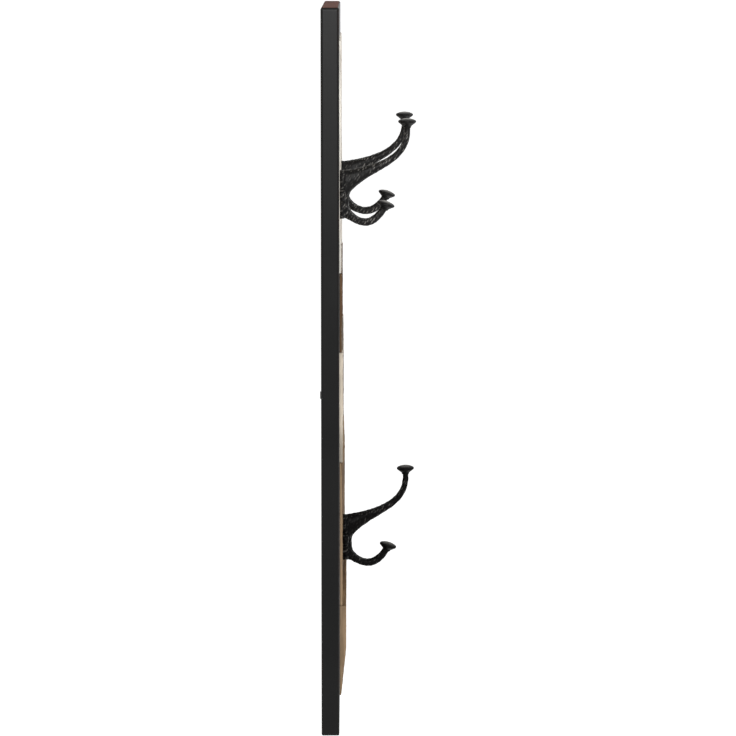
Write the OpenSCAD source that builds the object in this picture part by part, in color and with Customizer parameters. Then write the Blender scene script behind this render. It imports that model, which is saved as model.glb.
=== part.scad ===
// Wall mirror with three cast double hooks: a black mitred frame round a field of reclaimed boards,
// a square mirror let into the middle of the boards, and two swinging rings to hang it by.
// The front faces -Y and the wall side is the plane Y = 0. The origin is the middle of the back.

/* [Frame] */
// Height over the frame
frame_h = 914; // [840:1:1050]
// Width over the frame
frame_w = 457; // [420:1:560]
// Depth of the frame from back to front
frame_d = 22.7; // [21:0.1:30]
// Width of a frame member, seen from the front
member_w = 41.5; // [36:0.5:50]
// Radius along the outer long edges of the frame
edge_r = 3; // [1:0.1:5]
// Radius of the outer corners of the frame
corner_r = 3.6; // [1:0.1:8]
// Radius of the arris beside the boards
arris_r = 1.2; // [0.5:0.1:2]
// Width of the rear rebate that takes the backer board
rebate_w = 8; // [6:0.5:10]
// Side of a corner spline
spline_side = 26; // [18:1:32]
// Thickness of a corner spline
spline_t = 3; // [2:0.1:4]

/* [Boards] */
// Thickness of the backer board
backer_t = 5; // [4:0.1:6]
// Depth of the open recess behind the backer board
recess_d = 7.7; // [7.4:0.1:9]
// Gap between neighbouring boards
board_gap = 0.8; // [0.4:0.1:2]
// How far board 1, the top one, stands proud of the frame
proud_1 = 2.1; // [0.5:0.1:8]
// How far board 2 stands proud of the frame
proud_2 = 2.5; // [0.5:0.1:8]
// How far the boards of course 3 stand proud of the frame
proud_3 = 3.5; // [0.5:0.1:8]
// How far the boards of course 4 stand proud of the frame
proud_4 = 4.6; // [0.5:0.1:8]
// How far board 5 stands proud of the frame
proud_5 = 6.2; // [0.5:0.1:9]
// How far board 6, the bottom one, stands proud of the frame
proud_6 = 8.6; // [7.2:0.1:10]
// Height of the joint between courses 3 and 4 above the middle
middle_joint = 27; // [0:1:50]
// Height of course 3
course_3_h = 100; // [70:1:125]
// Height of course 4
course_4_h = 140; // [120:1:170]
// Wood left between a hook's base and the end of its board
hook_margin = 17.5; // [10:0.5:25]
// Radius worn on the front edges of the boards
board_edge_r = 1.2; // [0.4:0.1:2]
// Height of the worn bevel along the foot of board 6
worn_h = 60; // [30:1:64]
// Depth of the worn bevel at the foot of board 6
worn_d = 6; // [3:0.1:6.5]

/* [Mirror] */
// Width of the glass
glass_w = 305; // [260:1:315]
// Height of the glass
glass_h = 305; // [280:1:315]
// Thickness of the glass
glass_t = 4; // [3:0.1:5]
// Room between the glass and the boards
glass_gap = 1; // [0.5:0.1:2]
// Width of the bead round the glass
bead_w = 9; // [6:0.5:12]
// Depth of the bead in front of the glass
bead_d = 7.5; // [5:0.1:9]
// Radius of the rounded inner edge of the bead
bead_r = 5; // [2:0.1:5.5]

/* [Hooks] */
// Distance between the two upper hooks
hook_spacing = 172; // [140:1:240]
// Foot of the upper hooks above the mirror opening
upper_hook_rise = 32.5; // [20:0.5:45]
// Foot of the lower hook below the mirror opening
lower_hook_drop = 127; // [110:0.5:145]
// Size of the lower casting as a part of the upper ones
lower_hook_ratio = 0.99; // [0.9:0.01:1.05]
// Height of a hook's base
base_h = 62.4; // [58:0.2:64]
// Thickness of a hook's base
base_t = 4.5; // [3:0.1:6]
// Radius of the upright part of the base
base_r = 12.5; // [11:0.1:14]
// Radius of the ears at the sides of the base
ear_r = 7.5; // [6:0.1:9]
// Distance between the screws in the ears
ear_spacing = 33; // [31:0.5:40]
// Slope of the cast edges across the thickness of the base
draft = 1; // [0.2:0.1:2]
// Radius of the round spine between the two arms
spine_r = 9.3; // [8:0.1:10]
// Radius of a knob
knob_r = 11.6; // [8:0.1:13]
// Height of a knob's crown
crown_h = 4.2; // [2:0.1:7]
// Radius of the rounded edge of a knob
rim_r = 1.3; // [0.4:0.1:1.6]
// Height of the cone under a knob
cone_h = 5.8; // [4:0.1:7]
// Lean of the lower knob away from the boards, in degrees
knob_lean = 17; // [0:1:30]

/* [Hangers] */
// Distance between the two hangers
hanger_spacing = 300; // [200:1:330]
// Height of the ring pivots above the middle
hanger_z = 300; // [200:1:340]
// Radius of the ring wire
wire_r = 1.25; // [1:0.05:1.4]
// Width of a ring between the middles of its legs
ring_w = 18; // [17:0.5:24]
// Reach of a ring from its pivot to the middle of its far side
ring_reach = 16; // [15:0.5:17]
// Radius of the ring's two lower corners
elbow_r = 2.5; // [2:0.1:2.7]
// How far a ring leans on the board at rest, in degrees
ring_lean = 4; // [0:0.1:4]
// Width of a hanger strap
strap_w = 12; // [10:0.5:12]
// Length of a hanger strap below its pivot
strap_l = 38; // [36:0.5:50]
// Thickness of one leaf of the folded strap
leaf_t = 1; // [0.8:0.1:1.1]
// Radial room of the wire in its strap
wire_gap = 0.15; // [0.1:0.05:0.3]
// Distance from the pivot to the upper screw
strap_screw_1 = 10; // [9:0.1:11]
// Distance from the pivot to the lower screw
strap_screw_2 = 27; // [25:0.5:30]

/* [Batten and pads] */
// Height of the cross batten
batten_h = 60; // [40:1:90]
// Play of the batten and the backer board in the rebate
panel_gap = 0.5; // [0.2:0.1:1]
// Radius of a wall pad
pad_r = 4.75; // [3:0.05:8]
// Thickness of a wall pad
pad_t = 1.3; // [0.5:0.1:3]
// Height of the wall pads below the middle
pad_drop = 23; // [-50:1:50]

/* [Fasteners] */
// Shank radius of the hook screws
hook_screw_r = 2; // [1.5:0.05:2.2]
// Head radius of the hook screws
hook_head_r = 4; // [3:0.1:4.2]
// Length of the hook screws
hook_screw_l = 16; // [12:0.5:17]
// Shank radius of the small screws in the back
small_screw_r = 1.5; // [1.2:0.05:1.8]
// Head radius of the small screws in the back
small_head_r = 2.8; // [2.4:0.1:3]
// Head height of the small screws in the back
small_head_h = 1.6; // [1:0.1:2]
// Length of the small screws in the back
small_screw_l = 11; // [8:0.5:12]
// Shank radius of the board nails
nail_r = 0.9; // [0.6:0.05:1.2]
// Head radius of the board nails
nail_head_r = 2; // [1.5:0.1:2.5]
// Thickness of a nail's head
nail_head_h = 0.7; // [0.4:0.1:1]
// How far the board nails go into the backer board
nail_bite = 3.5; // [2:0.1:3.8]
// Distance of the nails from the ends of the boards
nail_inset = 12; // [8:0.5:15]
// Room round a screw or nail in its hole
hole_gap = 0.1; // [0.05:0.05:0.3]

/* [Hidden] */
$fn = 48;

black_paint = [0.14, 0.13, 0.13];
cast_black = [0.10, 0.10, 0.10];
pale_wood = [0.80, 0.75, 0.69];
dark_wood = [0.42, 0.33, 0.26];
grey_wood = [0.70, 0.64, 0.58];
mid_wood = [0.49, 0.41, 0.33];
board_brown = [0.55, 0.45, 0.34];
silvered = [0.80, 0.84, 0.86];
zinc = [0.72, 0.72, 0.74];
felt = [0.20, 0.19, 0.18];
over = 0.5;                              // how far a cutter passes the face that it opens
weld = 0.01;                             // how far two solids of one piece run into each other
tip_r = 0.2;                             // radius of the blunt tip of every screw and nail
air = 0.1;                               // room between the strap's barrel and the backer board

// where the fasteners stand, as parts of the field's width or height or of a board's height
side_screw_steps = [-0.45, -0.16, 0.16, 0.45];
end_screw_steps = [-0.28, 0.28];
batten_screw_steps = [0.16, 0.46];
nail_steps = [0.25, 0.75];

// the field of boards inside the frame, and the planes in it
field_w = frame_w - 2 * member_w;
field_h = frame_h - 2 * member_w;
backer_front = recess_d + backer_t;      // distance from the wall plane to the boards' backs
opening_w = glass_w + 2 * glass_gap;
opening_h = glass_h + 2 * glass_gap;
glass_front = backer_front + glass_t;

// the feet of the castings, and the joints between the courses of boards
upper_foot = opening_h / 2 + upper_hook_rise;
lower_foot = -opening_h / 2 - lower_hook_drop;
joint_z = [field_h / 2,
           upper_foot + base_h + hook_margin,
           middle_joint + course_3_h,
           middle_joint,
           middle_joint - course_4_h,
           lower_foot - hook_margin,
           -field_h / 2];
proud = [proud_1, proud_2, proud_3, proud_4, proud_5, proud_6];
board_foot = joint_z[6] + board_gap / 2; // where the bottom board's worn bevel starts
hook_seats = [[-hook_spacing / 2, upper_foot, proud_2, 1],
              [hook_spacing / 2, upper_foot, proud_2, 1],
              [0, lower_foot, proud_5, lower_hook_ratio]];

// ring pivot above the backer board: half a barrel and a hair of air
barrel_r = wire_r + wire_gap + leaf_t;
pivot_rise = barrel_r + air;

// edges of the casting's two arms: guide points [out from the board, up from the foot]
root = 0.5;                              // the arms start this far inside the base
upper_arm_top = [[root, 61.8], [40.1, 66.8], [83.6, 78.9], [79.8, 117.7]];
upper_arm_under = [[root, 15], [17, 66.5], [90.9, 58], [87.4, 118.3]];
upper_arm_width = [23, 8.6, 1.4];        // at the root, at the neck, how fast it tapers
upper_neck_r = 4.9;
top_knob_seat = [83.6, 124.2];
lower_arm_top = [[root, 31], [16.1, -7.5], [39.7, -7.9], [53.8, 19.3]];
lower_arm_under = [[root, 2], [12.2, 1.2], [36.3, -29.4], [61.8, 14.7]];
lower_arm_width = [19, 9.3, 1];
lower_neck_r = 4.8;
low_knob_seat = [58.3, 18.8];
arm_steps = 20;
arm_sides = 14;
squareness = 2.5;                        // 2 is an ellipse, more is a squarer section

// ---------------------------------------------------------------- helpers

// carries an axis from +Z to the front (-Y), for what goes in from the back
module from_back(x, depth, z) translate([x, -depth, z]) rotate([90, 0, 0]) children();

// carries an axis from +Z to the back (+Y), for what goes in from the front
module from_front(x, depth, z) translate([x, -depth, z]) rotate([-90, 0, 0]) children();

// 2D corner waste left outside a quarter circle, its corner at the origin
module corner_waste(r) difference() {
    translate([-over, -over]) square(r + over);
    translate([r, r]) circle(r);
}

// a block from x0 to x1, from depth y0 to depth y1 and from z0 to z1
module block(x0, x1, y0, y1, z0, z1)
    translate([x0, -y1, z0]) cube([x1 - x0, y1 - y0, z1 - z0]);

// ---------------------------------------------------------------- frame

// one mitred member of the given length, lying along X with its outer edge up at z = 0
module member(length) difference() {
    intersection() {
        translate([-length / 2, 0, 0]) rotate([90, 0, 90]) linear_extrude(length) member_section();
        rotate([90, 0, 0]) linear_extrude(frame_d) member_face(length);
    }
    translate([-length / 2, 0, 0])
        block(0, length, -over, backer_front, -member_w - over, rebate_w - member_w);
    for (side = [-1, 1]) translate([side * (length - member_w) / 2, 0, -member_w / 2])
        spline(side, hole_gap);
}

// section of a member: front at x = -frame_d, outer edge at y = 0
module member_section() difference() {
    translate([-frame_d, -member_w]) square([frame_d, member_w]);
    rotate(180) corner_waste(edge_r);
    translate([-frame_d, 0]) rotate(-90) corner_waste(edge_r);
    translate([-frame_d, -member_w]) corner_waste(arris_r);
}

// a member seen from the front: mitred ends, the two outer corners rounded
module member_face(length) difference() {
    polygon([[-length / 2, 0], [length / 2, 0],
             [length / 2 - member_w, -member_w], [member_w - length / 2, -member_w]]);
    translate([-length / 2, 0]) rotate(-90) corner_waste(corner_r);
    translate([length / 2, 0]) rotate(180) corner_waste(corner_r);
}

// a spline lies across the mitre, half in each member
module spline(side, grow) {
    s = spline_side + 2 * grow;
    t = spline_t + 2 * grow;
    translate([0, -(backer_front + frame_d) / 2, 0]) rotate([0, side * 45, 0])
        cube([s, t, s], center = true);
}

module stile(side) translate([side * frame_w / 2, 0, 0]) rotate([0, side * 90, 0]) member(frame_h);

module pilot_holes() {
    small_screws(backer_screw_places(), recess_d, hole_gap);
}

module stile_left() color(black_paint) difference() { stile(-1); pilot_holes(); }
module stile_right() color(black_paint) difference() { stile(1); pilot_holes(); }
module rail_top() color(black_paint) difference() {
    translate([0, 0, frame_h / 2]) member(frame_w);
    pilot_holes();
}
module rail_bottom() color(black_paint) difference() {
    translate([0, 0, -frame_h / 2]) rotate([0, 180, 0]) member(frame_w);
    pilot_holes();
}

module corner_splines() color(board_brown)
    for (x = [-1, 1], z = [-1, 1])
        translate([x * (frame_w - member_w) / 2, 0, z * (frame_h - member_w) / 2])
            spline(x * z, 0);

// ---------------------------------------------------------------- boards

// full course of boards, its two long front edges worn round
module course(i) {
    low = joint_z[i + 1] + board_gap / 2;
    high = joint_z[i] - board_gap / 2;
    front = frame_d + proud[i];
    length = field_w - board_gap;
    translate([-length / 2, 0, 0]) rotate([90, 0, 90]) linear_extrude(length) difference() {
        translate([-front, low]) square([front - backer_front, high - low]);
        translate([-front, low]) corner_waste(board_edge_r);
        translate([-front, high]) rotate(-90) corner_waste(board_edge_r);
    }
}

// the square that the mirror and its beads fill
module opening() block(-opening_w / 2, opening_w / 2, 0, 2 * frame_d, -opening_h / 2, opening_h / 2);

module plank(i) difference() {
    course(i);
    opening();
    all_nails(hole_gap);
    all_hook_screws(hole_gap);
    all_small_screws(hole_gap);
}

// the part of a course on one side of the mirror
module side_plank(i, side) intersection() {
    plank(i);
    block(side < 0 ? -frame_w : 0, side < 0 ? 0 : frame_w, 0, 2 * frame_d, -frame_h, frame_h);
}

module plank_1() color(pale_wood) plank(0);
module plank_2() color(pale_wood) plank(1);
module plank_3_left() color(dark_wood) side_plank(2, -1);
module plank_3_right() color(dark_wood) side_plank(2, 1);
module plank_4_left() color(grey_wood) side_plank(3, -1);
module plank_4_right() color(grey_wood) side_plank(3, 1);
module plank_5() color(mid_wood) plank(4);

// the bottom board has a long worn bevel along its foot
module plank_6() color(mid_wood) difference() {
    plank(5);
    front = frame_d + proud_6;
    slope = worn_d / worn_h;
    translate([-frame_w / 2, 0, 0]) rotate([90, 0, 90]) linear_extrude(frame_w)
        polygon([[-front + worn_d + slope * over, board_foot - over], [-front, board_foot + worn_h],
                 [-front - over, board_foot + worn_h], [-front - over, board_foot - over]]);
}

module backer_board() color(board_brown) difference() {
    block(-panel_w() / 2, panel_w() / 2, recess_d, backer_front, -panel_h() / 2, panel_h() / 2);
    all_nails(hole_gap);
    all_hook_screws(hole_gap);
    all_small_screws(hole_gap);
}
function panel_w() = field_w + 2 * (rebate_w - panel_gap);
function panel_h() = field_h + 2 * (rebate_w - panel_gap);

// the cross batten fills the recess behind the middle and ends flush with the frame's back
module back_batten() color(board_brown) difference() {
    block(-panel_w() / 2, panel_w() / 2, 0, recess_d, -batten_h / 2, batten_h / 2);
    all_batten_screws(hole_gap);
}

// ---------------------------------------------------------------- mirror

module mirror_glass() color(silvered)
    block(-glass_w / 2, glass_w / 2, backer_front, glass_front, -glass_h / 2, glass_h / 2);

// one mitred bead of the given length, lying along X with its outer edge up at z = 0
module bead(length) intersection() {
    translate([-length / 2, 0, 0]) rotate([90, 0, 90]) linear_extrude(length) difference() {
        translate([-glass_front - bead_d, -bead_w]) square([bead_d, bead_w]);
        translate([-glass_front - bead_d, -bead_w]) corner_waste(bead_r);
    }
    rotate([90, 0, 0]) linear_extrude(2 * frame_d)
        polygon([[-length / 2, 0], [length / 2, 0],
                 [length / 2 - bead_w, -bead_w], [bead_w - length / 2, -bead_w]]);
}

module bead_top() color(black_paint) translate([0, 0, opening_h / 2]) bead(opening_w);
module bead_bottom() color(black_paint)
    translate([0, 0, -opening_h / 2]) rotate([0, 180, 0]) bead(opening_w);
module bead_left() color(black_paint)
    translate([-opening_w / 2, 0, 0]) rotate([0, -90, 0]) bead(opening_h);
module bead_right() color(black_paint)
    translate([opening_w / 2, 0, 0]) rotate([0, 90, 0]) bead(opening_h);

// ---------------------------------------------------------------- hooks

// point on the curve that the four guide points draw, at t from 0 to 1
function along(p, t) = p[0] * pow(1 - t, 3) + 3 * p[1] * t * pow(1 - t, 2)
                       + 3 * p[2] * t * t * (1 - t) + p[3] * pow(t, 3);
// a width that runs from w[0] at the root to w[1] at the neck
function taper(w, t) = w[1] + (w[0] - w[1]) * pow(1 - t, w[2]);
function rounded(c) = sign(c) * pow(abs(c), 2 / squareness);

// one cross-section of an arm: a softened rectangle from its under edge to its top edge
function arm_ring(top, under, width, t) =
    let (middle = (along(top, t) + along(under, t)) / 2, half = (along(top, t) - along(under, t)) / 2)
    [for (k = [0 : arm_sides - 1])
        let (a = 360 * k / arm_sides, m = middle + half * rounded(sin(a)))
        [taper(width, t) / 2 * rounded(cos(a)), -m[0], m[1]]];

// an arm is lofted through its cross-sections
module arm(top, under, width) {
    points = [for (s = [0 : arm_steps]) each arm_ring(top, under, width, s / arm_steps)];
    last = arm_steps * arm_sides;
    function at(s, k) = s * arm_sides + k % arm_sides;
    sides = [for (s = [0 : arm_steps - 1], k = [0 : arm_sides - 1])
        each [[at(s, k), at(s + 1, k + 1), at(s, k + 1)], [at(s, k), at(s + 1, k), at(s + 1, k + 1)]]];
    root_end = [for (k = [1 : arm_sides - 2]) [0, k, k + 1]];
    neck_end = [for (k = [1 : arm_sides - 2]) [last, last + k + 1, last + k]];
    polyhedron(points, concat(sides, root_end, neck_end));
}

// a mushroom knob with a cone under it, its widest line at z = 0
module knob(neck_r) rotate_extrude() {
    neck_l = 2;
    neck_flare = 0.4;
    rim_turn = 49;                       // how far down the rim the cone leaves it, in degrees
    rim_x = knob_r - rim_r;
    crown_r = (rim_x * rim_x + crown_h * crown_h - rim_r * rim_r) / (2 * (crown_h - rim_r));
    meet_x = rim_x * crown_r / (crown_r - rim_r);    // where the crown runs into the rim
    polygon([[0, 0], [rim_x, 0], [rim_x + rim_r * cos(rim_turn), -rim_r * sin(rim_turn)],
             [neck_r + neck_flare, -cone_h], [neck_r, -cone_h - neck_l], [0, -cone_h - neck_l]]);
    translate([rim_x, 0]) circle(rim_r);
    intersection() {
        translate([0, crown_h - crown_r]) circle(crown_r);
        square([meet_x, crown_h]);
    }
}

// a bar with sloping sides and round ends, lying along Y from -length/2 to length/2
module drafted_bar(r, length) {
    top_r = r - draft;
    for (side = [-1, 1]) translate([0, side * length / 2, 0]) cylinder(r1 = r, r2 = top_r, h = base_t);
    translate([0, length / 2, 0]) rotate([90, 0, 0]) linear_extrude(length)
        polygon([[-r, 0], [r, 0], [top_r, base_t], [-top_r, base_t]]);
}

// the base: an upright bar and a shorter one across it that ends in the two screw ears
module eared_base() translate([0, 0, base_h / 2]) rotate([90, 0, 0]) {
    drafted_bar(base_r, base_h - 2 * base_r);
    rotate(90) drafted_bar(ear_r, ear_spacing);
}

// a round spine up the middle of the base, between the roots of the arms
module spine() intersection() {
    translate([0, 0, spine_r]) cylinder(r = spine_r, h = base_h / 2);
    block(-base_h, base_h, 0, base_h, -base_h, base_h);
}

// the whole casting with its foot at the origin, before its screw holes
module casting_body() {
    eared_base();
    spine();
    arm(upper_arm_top, upper_arm_under, upper_arm_width);
    arm(lower_arm_top, lower_arm_under, lower_arm_width);
    translate([0, -top_knob_seat[0], top_knob_seat[1]]) knob(upper_neck_r);
    translate([0, -low_knob_seat[0], low_knob_seat[1]]) rotate([knob_lean, 0, 0]) knob(lower_neck_r);
}

// puts children at the foot of a hook's seat on its board
module at_seat(seat) translate([seat[0], -frame_d - seat[2], seat[1]]) children();

module casting(seat) color(cast_black) difference() {
    at_seat(seat) scale(seat[3]) casting_body();
    hook_screw_pair(seat, hole_gap);
}

module hook_upper_left() casting(hook_seats[0]);
module hook_upper_right() casting(hook_seats[1]);
module hook_lower() casting(hook_seats[2]);

// ---------------------------------------------------------------- hangers

// puts children at a ring's pivot, on the back of the backer board
module at_pivot(side) translate([side * hanger_spacing / 2, -recess_d, hanger_z]) children();

// folded strap: two leaves on the board and a barrel round the ring's straight side
module strap(side) color(zinc) difference() {
    at_pivot(side) {
        strap_leaf(0, 0);
        strap_leaf(leaf_t, barrel_r * 0.75);
        translate([-strap_w / 2, pivot_rise, 0]) rotate([0, 90, 0]) difference() {
            cylinder(r = barrel_r, h = strap_w);
            translate([0, 0, -over]) cylinder(r = wire_r + wire_gap, h = strap_w + 2 * over);
        }
    }
    hanger_screw_pair(side, hole_gap);
}

// one leaf: its upper end at top_gap below the pivot, its foot a half round
module strap_leaf(rise, top_gap) translate([0, rise + leaf_t, 0]) rotate([90, 0, 0])
    linear_extrude(leaf_t) {
        translate([-strap_w / 2, strap_w / 2 - strap_l]) square([strap_w, strap_l - strap_w / 2 - top_gap]);
        translate([0, strap_w / 2 - strap_l]) circle(strap_w / 2);
    }

// a D-ring: straight side in the barrel, two elbows, two legs and a half-round head
module ring(side) color(zinc) at_pivot(side) translate([0, pivot_rise, 0]) rotate([ring_lean, 0, 0]) {
    half = ring_w / 2;
    head_z = ring_reach - half;
    translate([elbow_r - half, 0, 0]) rotate([0, 90, 0]) cylinder(r = wire_r, h = ring_w - 2 * elbow_r);
    for (s = [-1, 1]) {
        translate([s * half, 0, elbow_r]) cylinder(r = wire_r, h = head_z - elbow_r);
        translate([s * (half - elbow_r), 0, elbow_r]) rotate([90, 0, 0])
            rotate([0, 0, s > 0 ? -90 : 180]) bend(elbow_r, 90);
    }
    translate([0, 0, head_z]) rotate([90, 0, 0]) bend(half, 180);
}
module bend(r, angle) rotate_extrude(angle = angle) translate([r, 0]) circle(wire_r);

module hanger_strap_left() strap(-1);
module hanger_strap_right() strap(1);
module ring_left() ring(-1);
module ring_right() ring(1);

module wall_pads() color(felt)
    for (side = [-1, 1]) from_front(side * (frame_w - member_w) / 2, 0, -pad_drop)
        cylinder(r = pad_r, h = pad_t);

// ---------------------------------------------------------------- fasteners
// Every screw and nail is drawn by the module that also cuts its hole, a little larger.

module countersunk(head_r, r, length, grow) {
    head_h = head_r - r;
    translate([0, 0, -grow]) cylinder(r = head_r + grow, h = grow + weld);
    cylinder(r1 = head_r + grow, r2 = r + grow, h = head_h);
    cylinder(r = r + grow, h = length - r + grow);
    translate([0, 0, length - r + grow]) cylinder(r1 = r + grow, r2 = grow + tip_r, h = r);
}

module pan_head(head_r, head_h, r, length, grow) {
    if (grow == 0) translate([0, 0, -head_h]) cylinder(r1 = head_r * 0.8, r2 = head_r, h = head_h);
    translate([0, 0, -grow]) cylinder(r = r + grow, h = length - r + 2 * grow);
    translate([0, 0, length - r + grow]) cylinder(r1 = r + grow, r2 = grow + tip_r, h = r);
}

// the two screws in a casting's ears
module hook_screw_pair(seat, grow) for (side = [-1, 1])
    from_front(seat[0] + side * seat[3] * ear_spacing / 2,
               frame_d + seat[2] + seat[3] * base_t,
               seat[1] + seat[3] * base_h / 2)
        countersunk(hook_head_r, hook_screw_r, hook_screw_l, grow);
module all_hook_screws(grow) for (seat = hook_seats) hook_screw_pair(seat, grow);

// the two screws in a hanger strap
module hanger_screw_pair(side, grow) for (drop = [strap_screw_1, strap_screw_2])
    from_back(side * hanger_spacing / 2, recess_d - 2 * leaf_t, hanger_z - drop)
        pan_head(small_head_r, small_head_h, small_screw_r, small_screw_l, grow);

module small_screws(places, depth, grow) for (p = places) from_back(p[0], depth, p[1])
    pan_head(small_head_r, small_head_h, small_screw_r, small_screw_l, grow);

// screws along the edge of the backer board, in the middle of the rebate's ledge
function backer_screw_places() =
    let (x = field_w / 2 + rebate_w / 2 - panel_gap / 2, z = field_h / 2 + rebate_w / 2 - panel_gap / 2)
    concat([for (side = [-1, 1], step = side_screw_steps) [side * x, step * field_h]],
           [for (end = [-1, 1], step = end_screw_steps) [step * field_w, end * z]]);

module all_batten_screws(grow) for (side = [-1, 1], step = batten_screw_steps)
    from_back(side * step * field_w, 0, 0)
        countersunk(small_head_r, small_screw_r, small_screw_l, grow);

module all_small_screws(grow) {
    small_screws(backer_screw_places(), recess_d, grow);
    for (side = [-1, 1]) hanger_screw_pair(side, grow);
    all_batten_screws(grow);
}

// a nail with its flat head up at z = 0; its hole runs on out through the front of the board
module nail(length, grow) {
    shank = length - nail_r;
    way_out = grow > 0 ? nail_head_r : 0;
    translate([0, 0, -way_out]) cylinder(r = nail_head_r + grow, h = way_out + nail_head_h + grow);
    translate([0, 0, nail_head_h / 2]) cylinder(r = nail_r + grow, h = shank - nail_head_h / 2 + grow);
    translate([0, 0, shank + grow]) cylinder(r1 = nail_r + grow, r2 = grow + tip_r, h = nail_r);
}

// how far behind the front of course i the worn bevel lies at a height
function worn_back(i, z) = i == 5 ? worn_d * max(0, 1 - (z - board_foot) / worn_h) : 0;

// two nails near each end of every course, driven flush and on into the backer board
module all_nails(grow) for (i = [0 : 5], side = [-1, 1], step = nail_steps) {
    z = joint_z[i + 1] + step * (joint_z[i] - joint_z[i + 1]);
    front = frame_d + proud[i] - worn_back(i, z);
    from_front(side * (field_w / 2 - nail_inset), front, z)
        nail(front - backer_front + nail_bite, grow);
}

module hook_screws() color(cast_black) all_hook_screws(0);
module hanger_screws() color(zinc) for (side = [-1, 1]) hanger_screw_pair(side, 0);
module backer_screws() color(zinc) small_screws(backer_screw_places(), recess_d, 0);
module batten_screws() color(zinc) all_batten_screws(0);
module plank_nails() color(cast_black) all_nails(0);

// ---------------------------------------------------------------- nodes

stile_left();
stile_right();
rail_top();
rail_bottom();
corner_splines();
backer_board();
back_batten();
plank_1();
plank_2();
plank_3_left();
plank_3_right();
plank_4_left();
plank_4_right();
plank_5();
plank_6();
mirror_glass();
bead_top();
bead_bottom();
bead_left();
bead_right();
hook_upper_left();
hook_upper_right();
hook_lower();
hanger_strap_left();
hanger_strap_right();
ring_left();
ring_right();
wall_pads();
hook_screws();
hanger_screws();
backer_screws();
batten_screws();
plank_nails();
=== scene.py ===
"""Looks of a wall mirror with cast double hooks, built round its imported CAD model.

The front faces -Y, +Z is up, and the wall plane is Y = 0. Sizes are in metres, apart from those of
the castings, which are drawn in millimetres from their own foot.
"""

import logging
import math
from dataclasses import dataclass, field, replace
from enum import Enum
from functools import cached_property
from typing import Sequence

import bpy
import numpy as np
from mathutils import Matrix, Vector, noise


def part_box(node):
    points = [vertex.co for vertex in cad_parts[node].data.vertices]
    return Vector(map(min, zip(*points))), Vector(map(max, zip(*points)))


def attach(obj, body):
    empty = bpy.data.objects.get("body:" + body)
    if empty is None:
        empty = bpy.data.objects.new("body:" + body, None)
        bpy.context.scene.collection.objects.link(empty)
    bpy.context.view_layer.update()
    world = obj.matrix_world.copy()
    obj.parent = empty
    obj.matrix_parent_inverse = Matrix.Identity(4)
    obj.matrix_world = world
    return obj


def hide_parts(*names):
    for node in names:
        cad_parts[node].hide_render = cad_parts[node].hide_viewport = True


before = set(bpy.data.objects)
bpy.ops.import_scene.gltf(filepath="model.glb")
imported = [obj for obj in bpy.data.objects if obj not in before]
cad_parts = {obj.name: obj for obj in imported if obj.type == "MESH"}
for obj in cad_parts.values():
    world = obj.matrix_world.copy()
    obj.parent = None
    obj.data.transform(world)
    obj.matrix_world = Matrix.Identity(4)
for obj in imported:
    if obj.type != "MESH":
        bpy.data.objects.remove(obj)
log = logging.getLogger("mirror")

MM = 0.001                                            # a millimetre in metres
FRAME_DEPTH = 0.0227                                  # from the wall plane to the black frame's front
ARRIS_LINES = (0.0, 0.0003, 0.0007, 0.0012, 0.0018, 0.0026)   # a board's grid lines, from its end
INNER_LINES = (0.0, 0.0004, 0.001, 0.002)             # and from the edge of the mirror's opening
NAIL_SEAT = 0.00045                                   # depth of the nails' heads in the worn boards

Point = tuple[float, float, float]
Colour = tuple[float, float, float, float]
Solid = tuple[list[Point], list[list[int]]]           # corners, and faces as lists of their numbers
Socket = bpy.types.NodeSocket


# ------------------------------------------------------------------ small tools

def rgb(red: int, green: int, blue: int) -> Colour:
    """An 8-bit sRGB colour as a linear RGBA value.

    Args:
        red: its red, 0 to 255.
        green: its green.
        blue: its blue.
    Returns:
        The linear colour, with full alpha.
    """
    def linear(value: int) -> float:
        """One channel, from 8-bit sRGB to linear."""
        c = value / 255
        return c / 12.92 if c <= 0.04045 else ((c + 0.055) / 1.055) ** 2.4
    return (linear(red), linear(green), linear(blue), 1.0)


def scaled(tone: Colour, share: float) -> Colour:
    """A colour with its light multiplied by a share."""
    return tuple(c * share for c in tone[:3]) + (1.0,)


def eased(t: float) -> float:
    """A smooth step, 0 up to t = 0 and 1 from t = 1."""
    t = min(1.0, max(0.0, t))
    return t * t * (3 - 2 * t)


def mesh_object(name: str, points: Sequence, faces: Sequence) -> bpy.types.Object:
    """Makes a smooth mesh object that sits at the origin, its place in its vertices.

    Args:
        name: name of the object and its mesh.
        points: corners of the mesh, in metres.
        faces: lists of corner numbers, counter-clockwise seen from outside.
    Returns:
        The new object, linked to the scene.
    """
    mesh = bpy.data.meshes.new(name)
    mesh.from_pydata([tuple(p) for p in points], [], [tuple(f) for f in faces])
    mesh.validate()
    mesh.update()
    mesh.shade_smooth()
    piece = bpy.data.objects.new(name, mesh)
    bpy.context.scene.collection.objects.link(piece)
    return piece


def evaluated(piece: bpy.types.Object, name: str) -> bpy.types.Object:
    """Turns an object with its modifiers into a plain mesh object and removes the old one.

    Args:
        piece: the object with its modifiers.
        name: the new object's name.
    Returns:
        The plain mesh object, linked to the scene.
    """
    bpy.context.view_layer.update()
    graph = bpy.context.evaluated_depsgraph_get()
    mesh = bpy.data.meshes.new_from_object(piece.evaluated_get(graph), depsgraph=graph)
    mesh.name = name
    bpy.data.objects.remove(piece)
    result = bpy.data.objects.new(name, mesh)
    bpy.context.scene.collection.objects.link(result)
    return result


def crease(piece: bpy.types.Object, degrees: float) -> None:
    """Shades a piece smooth, with sharp edges where its faces turn by more than the angle."""
    piece.data.shade_smooth()
    piece.data.set_sharp_from_angle(angle=math.radians(degrees))


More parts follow.
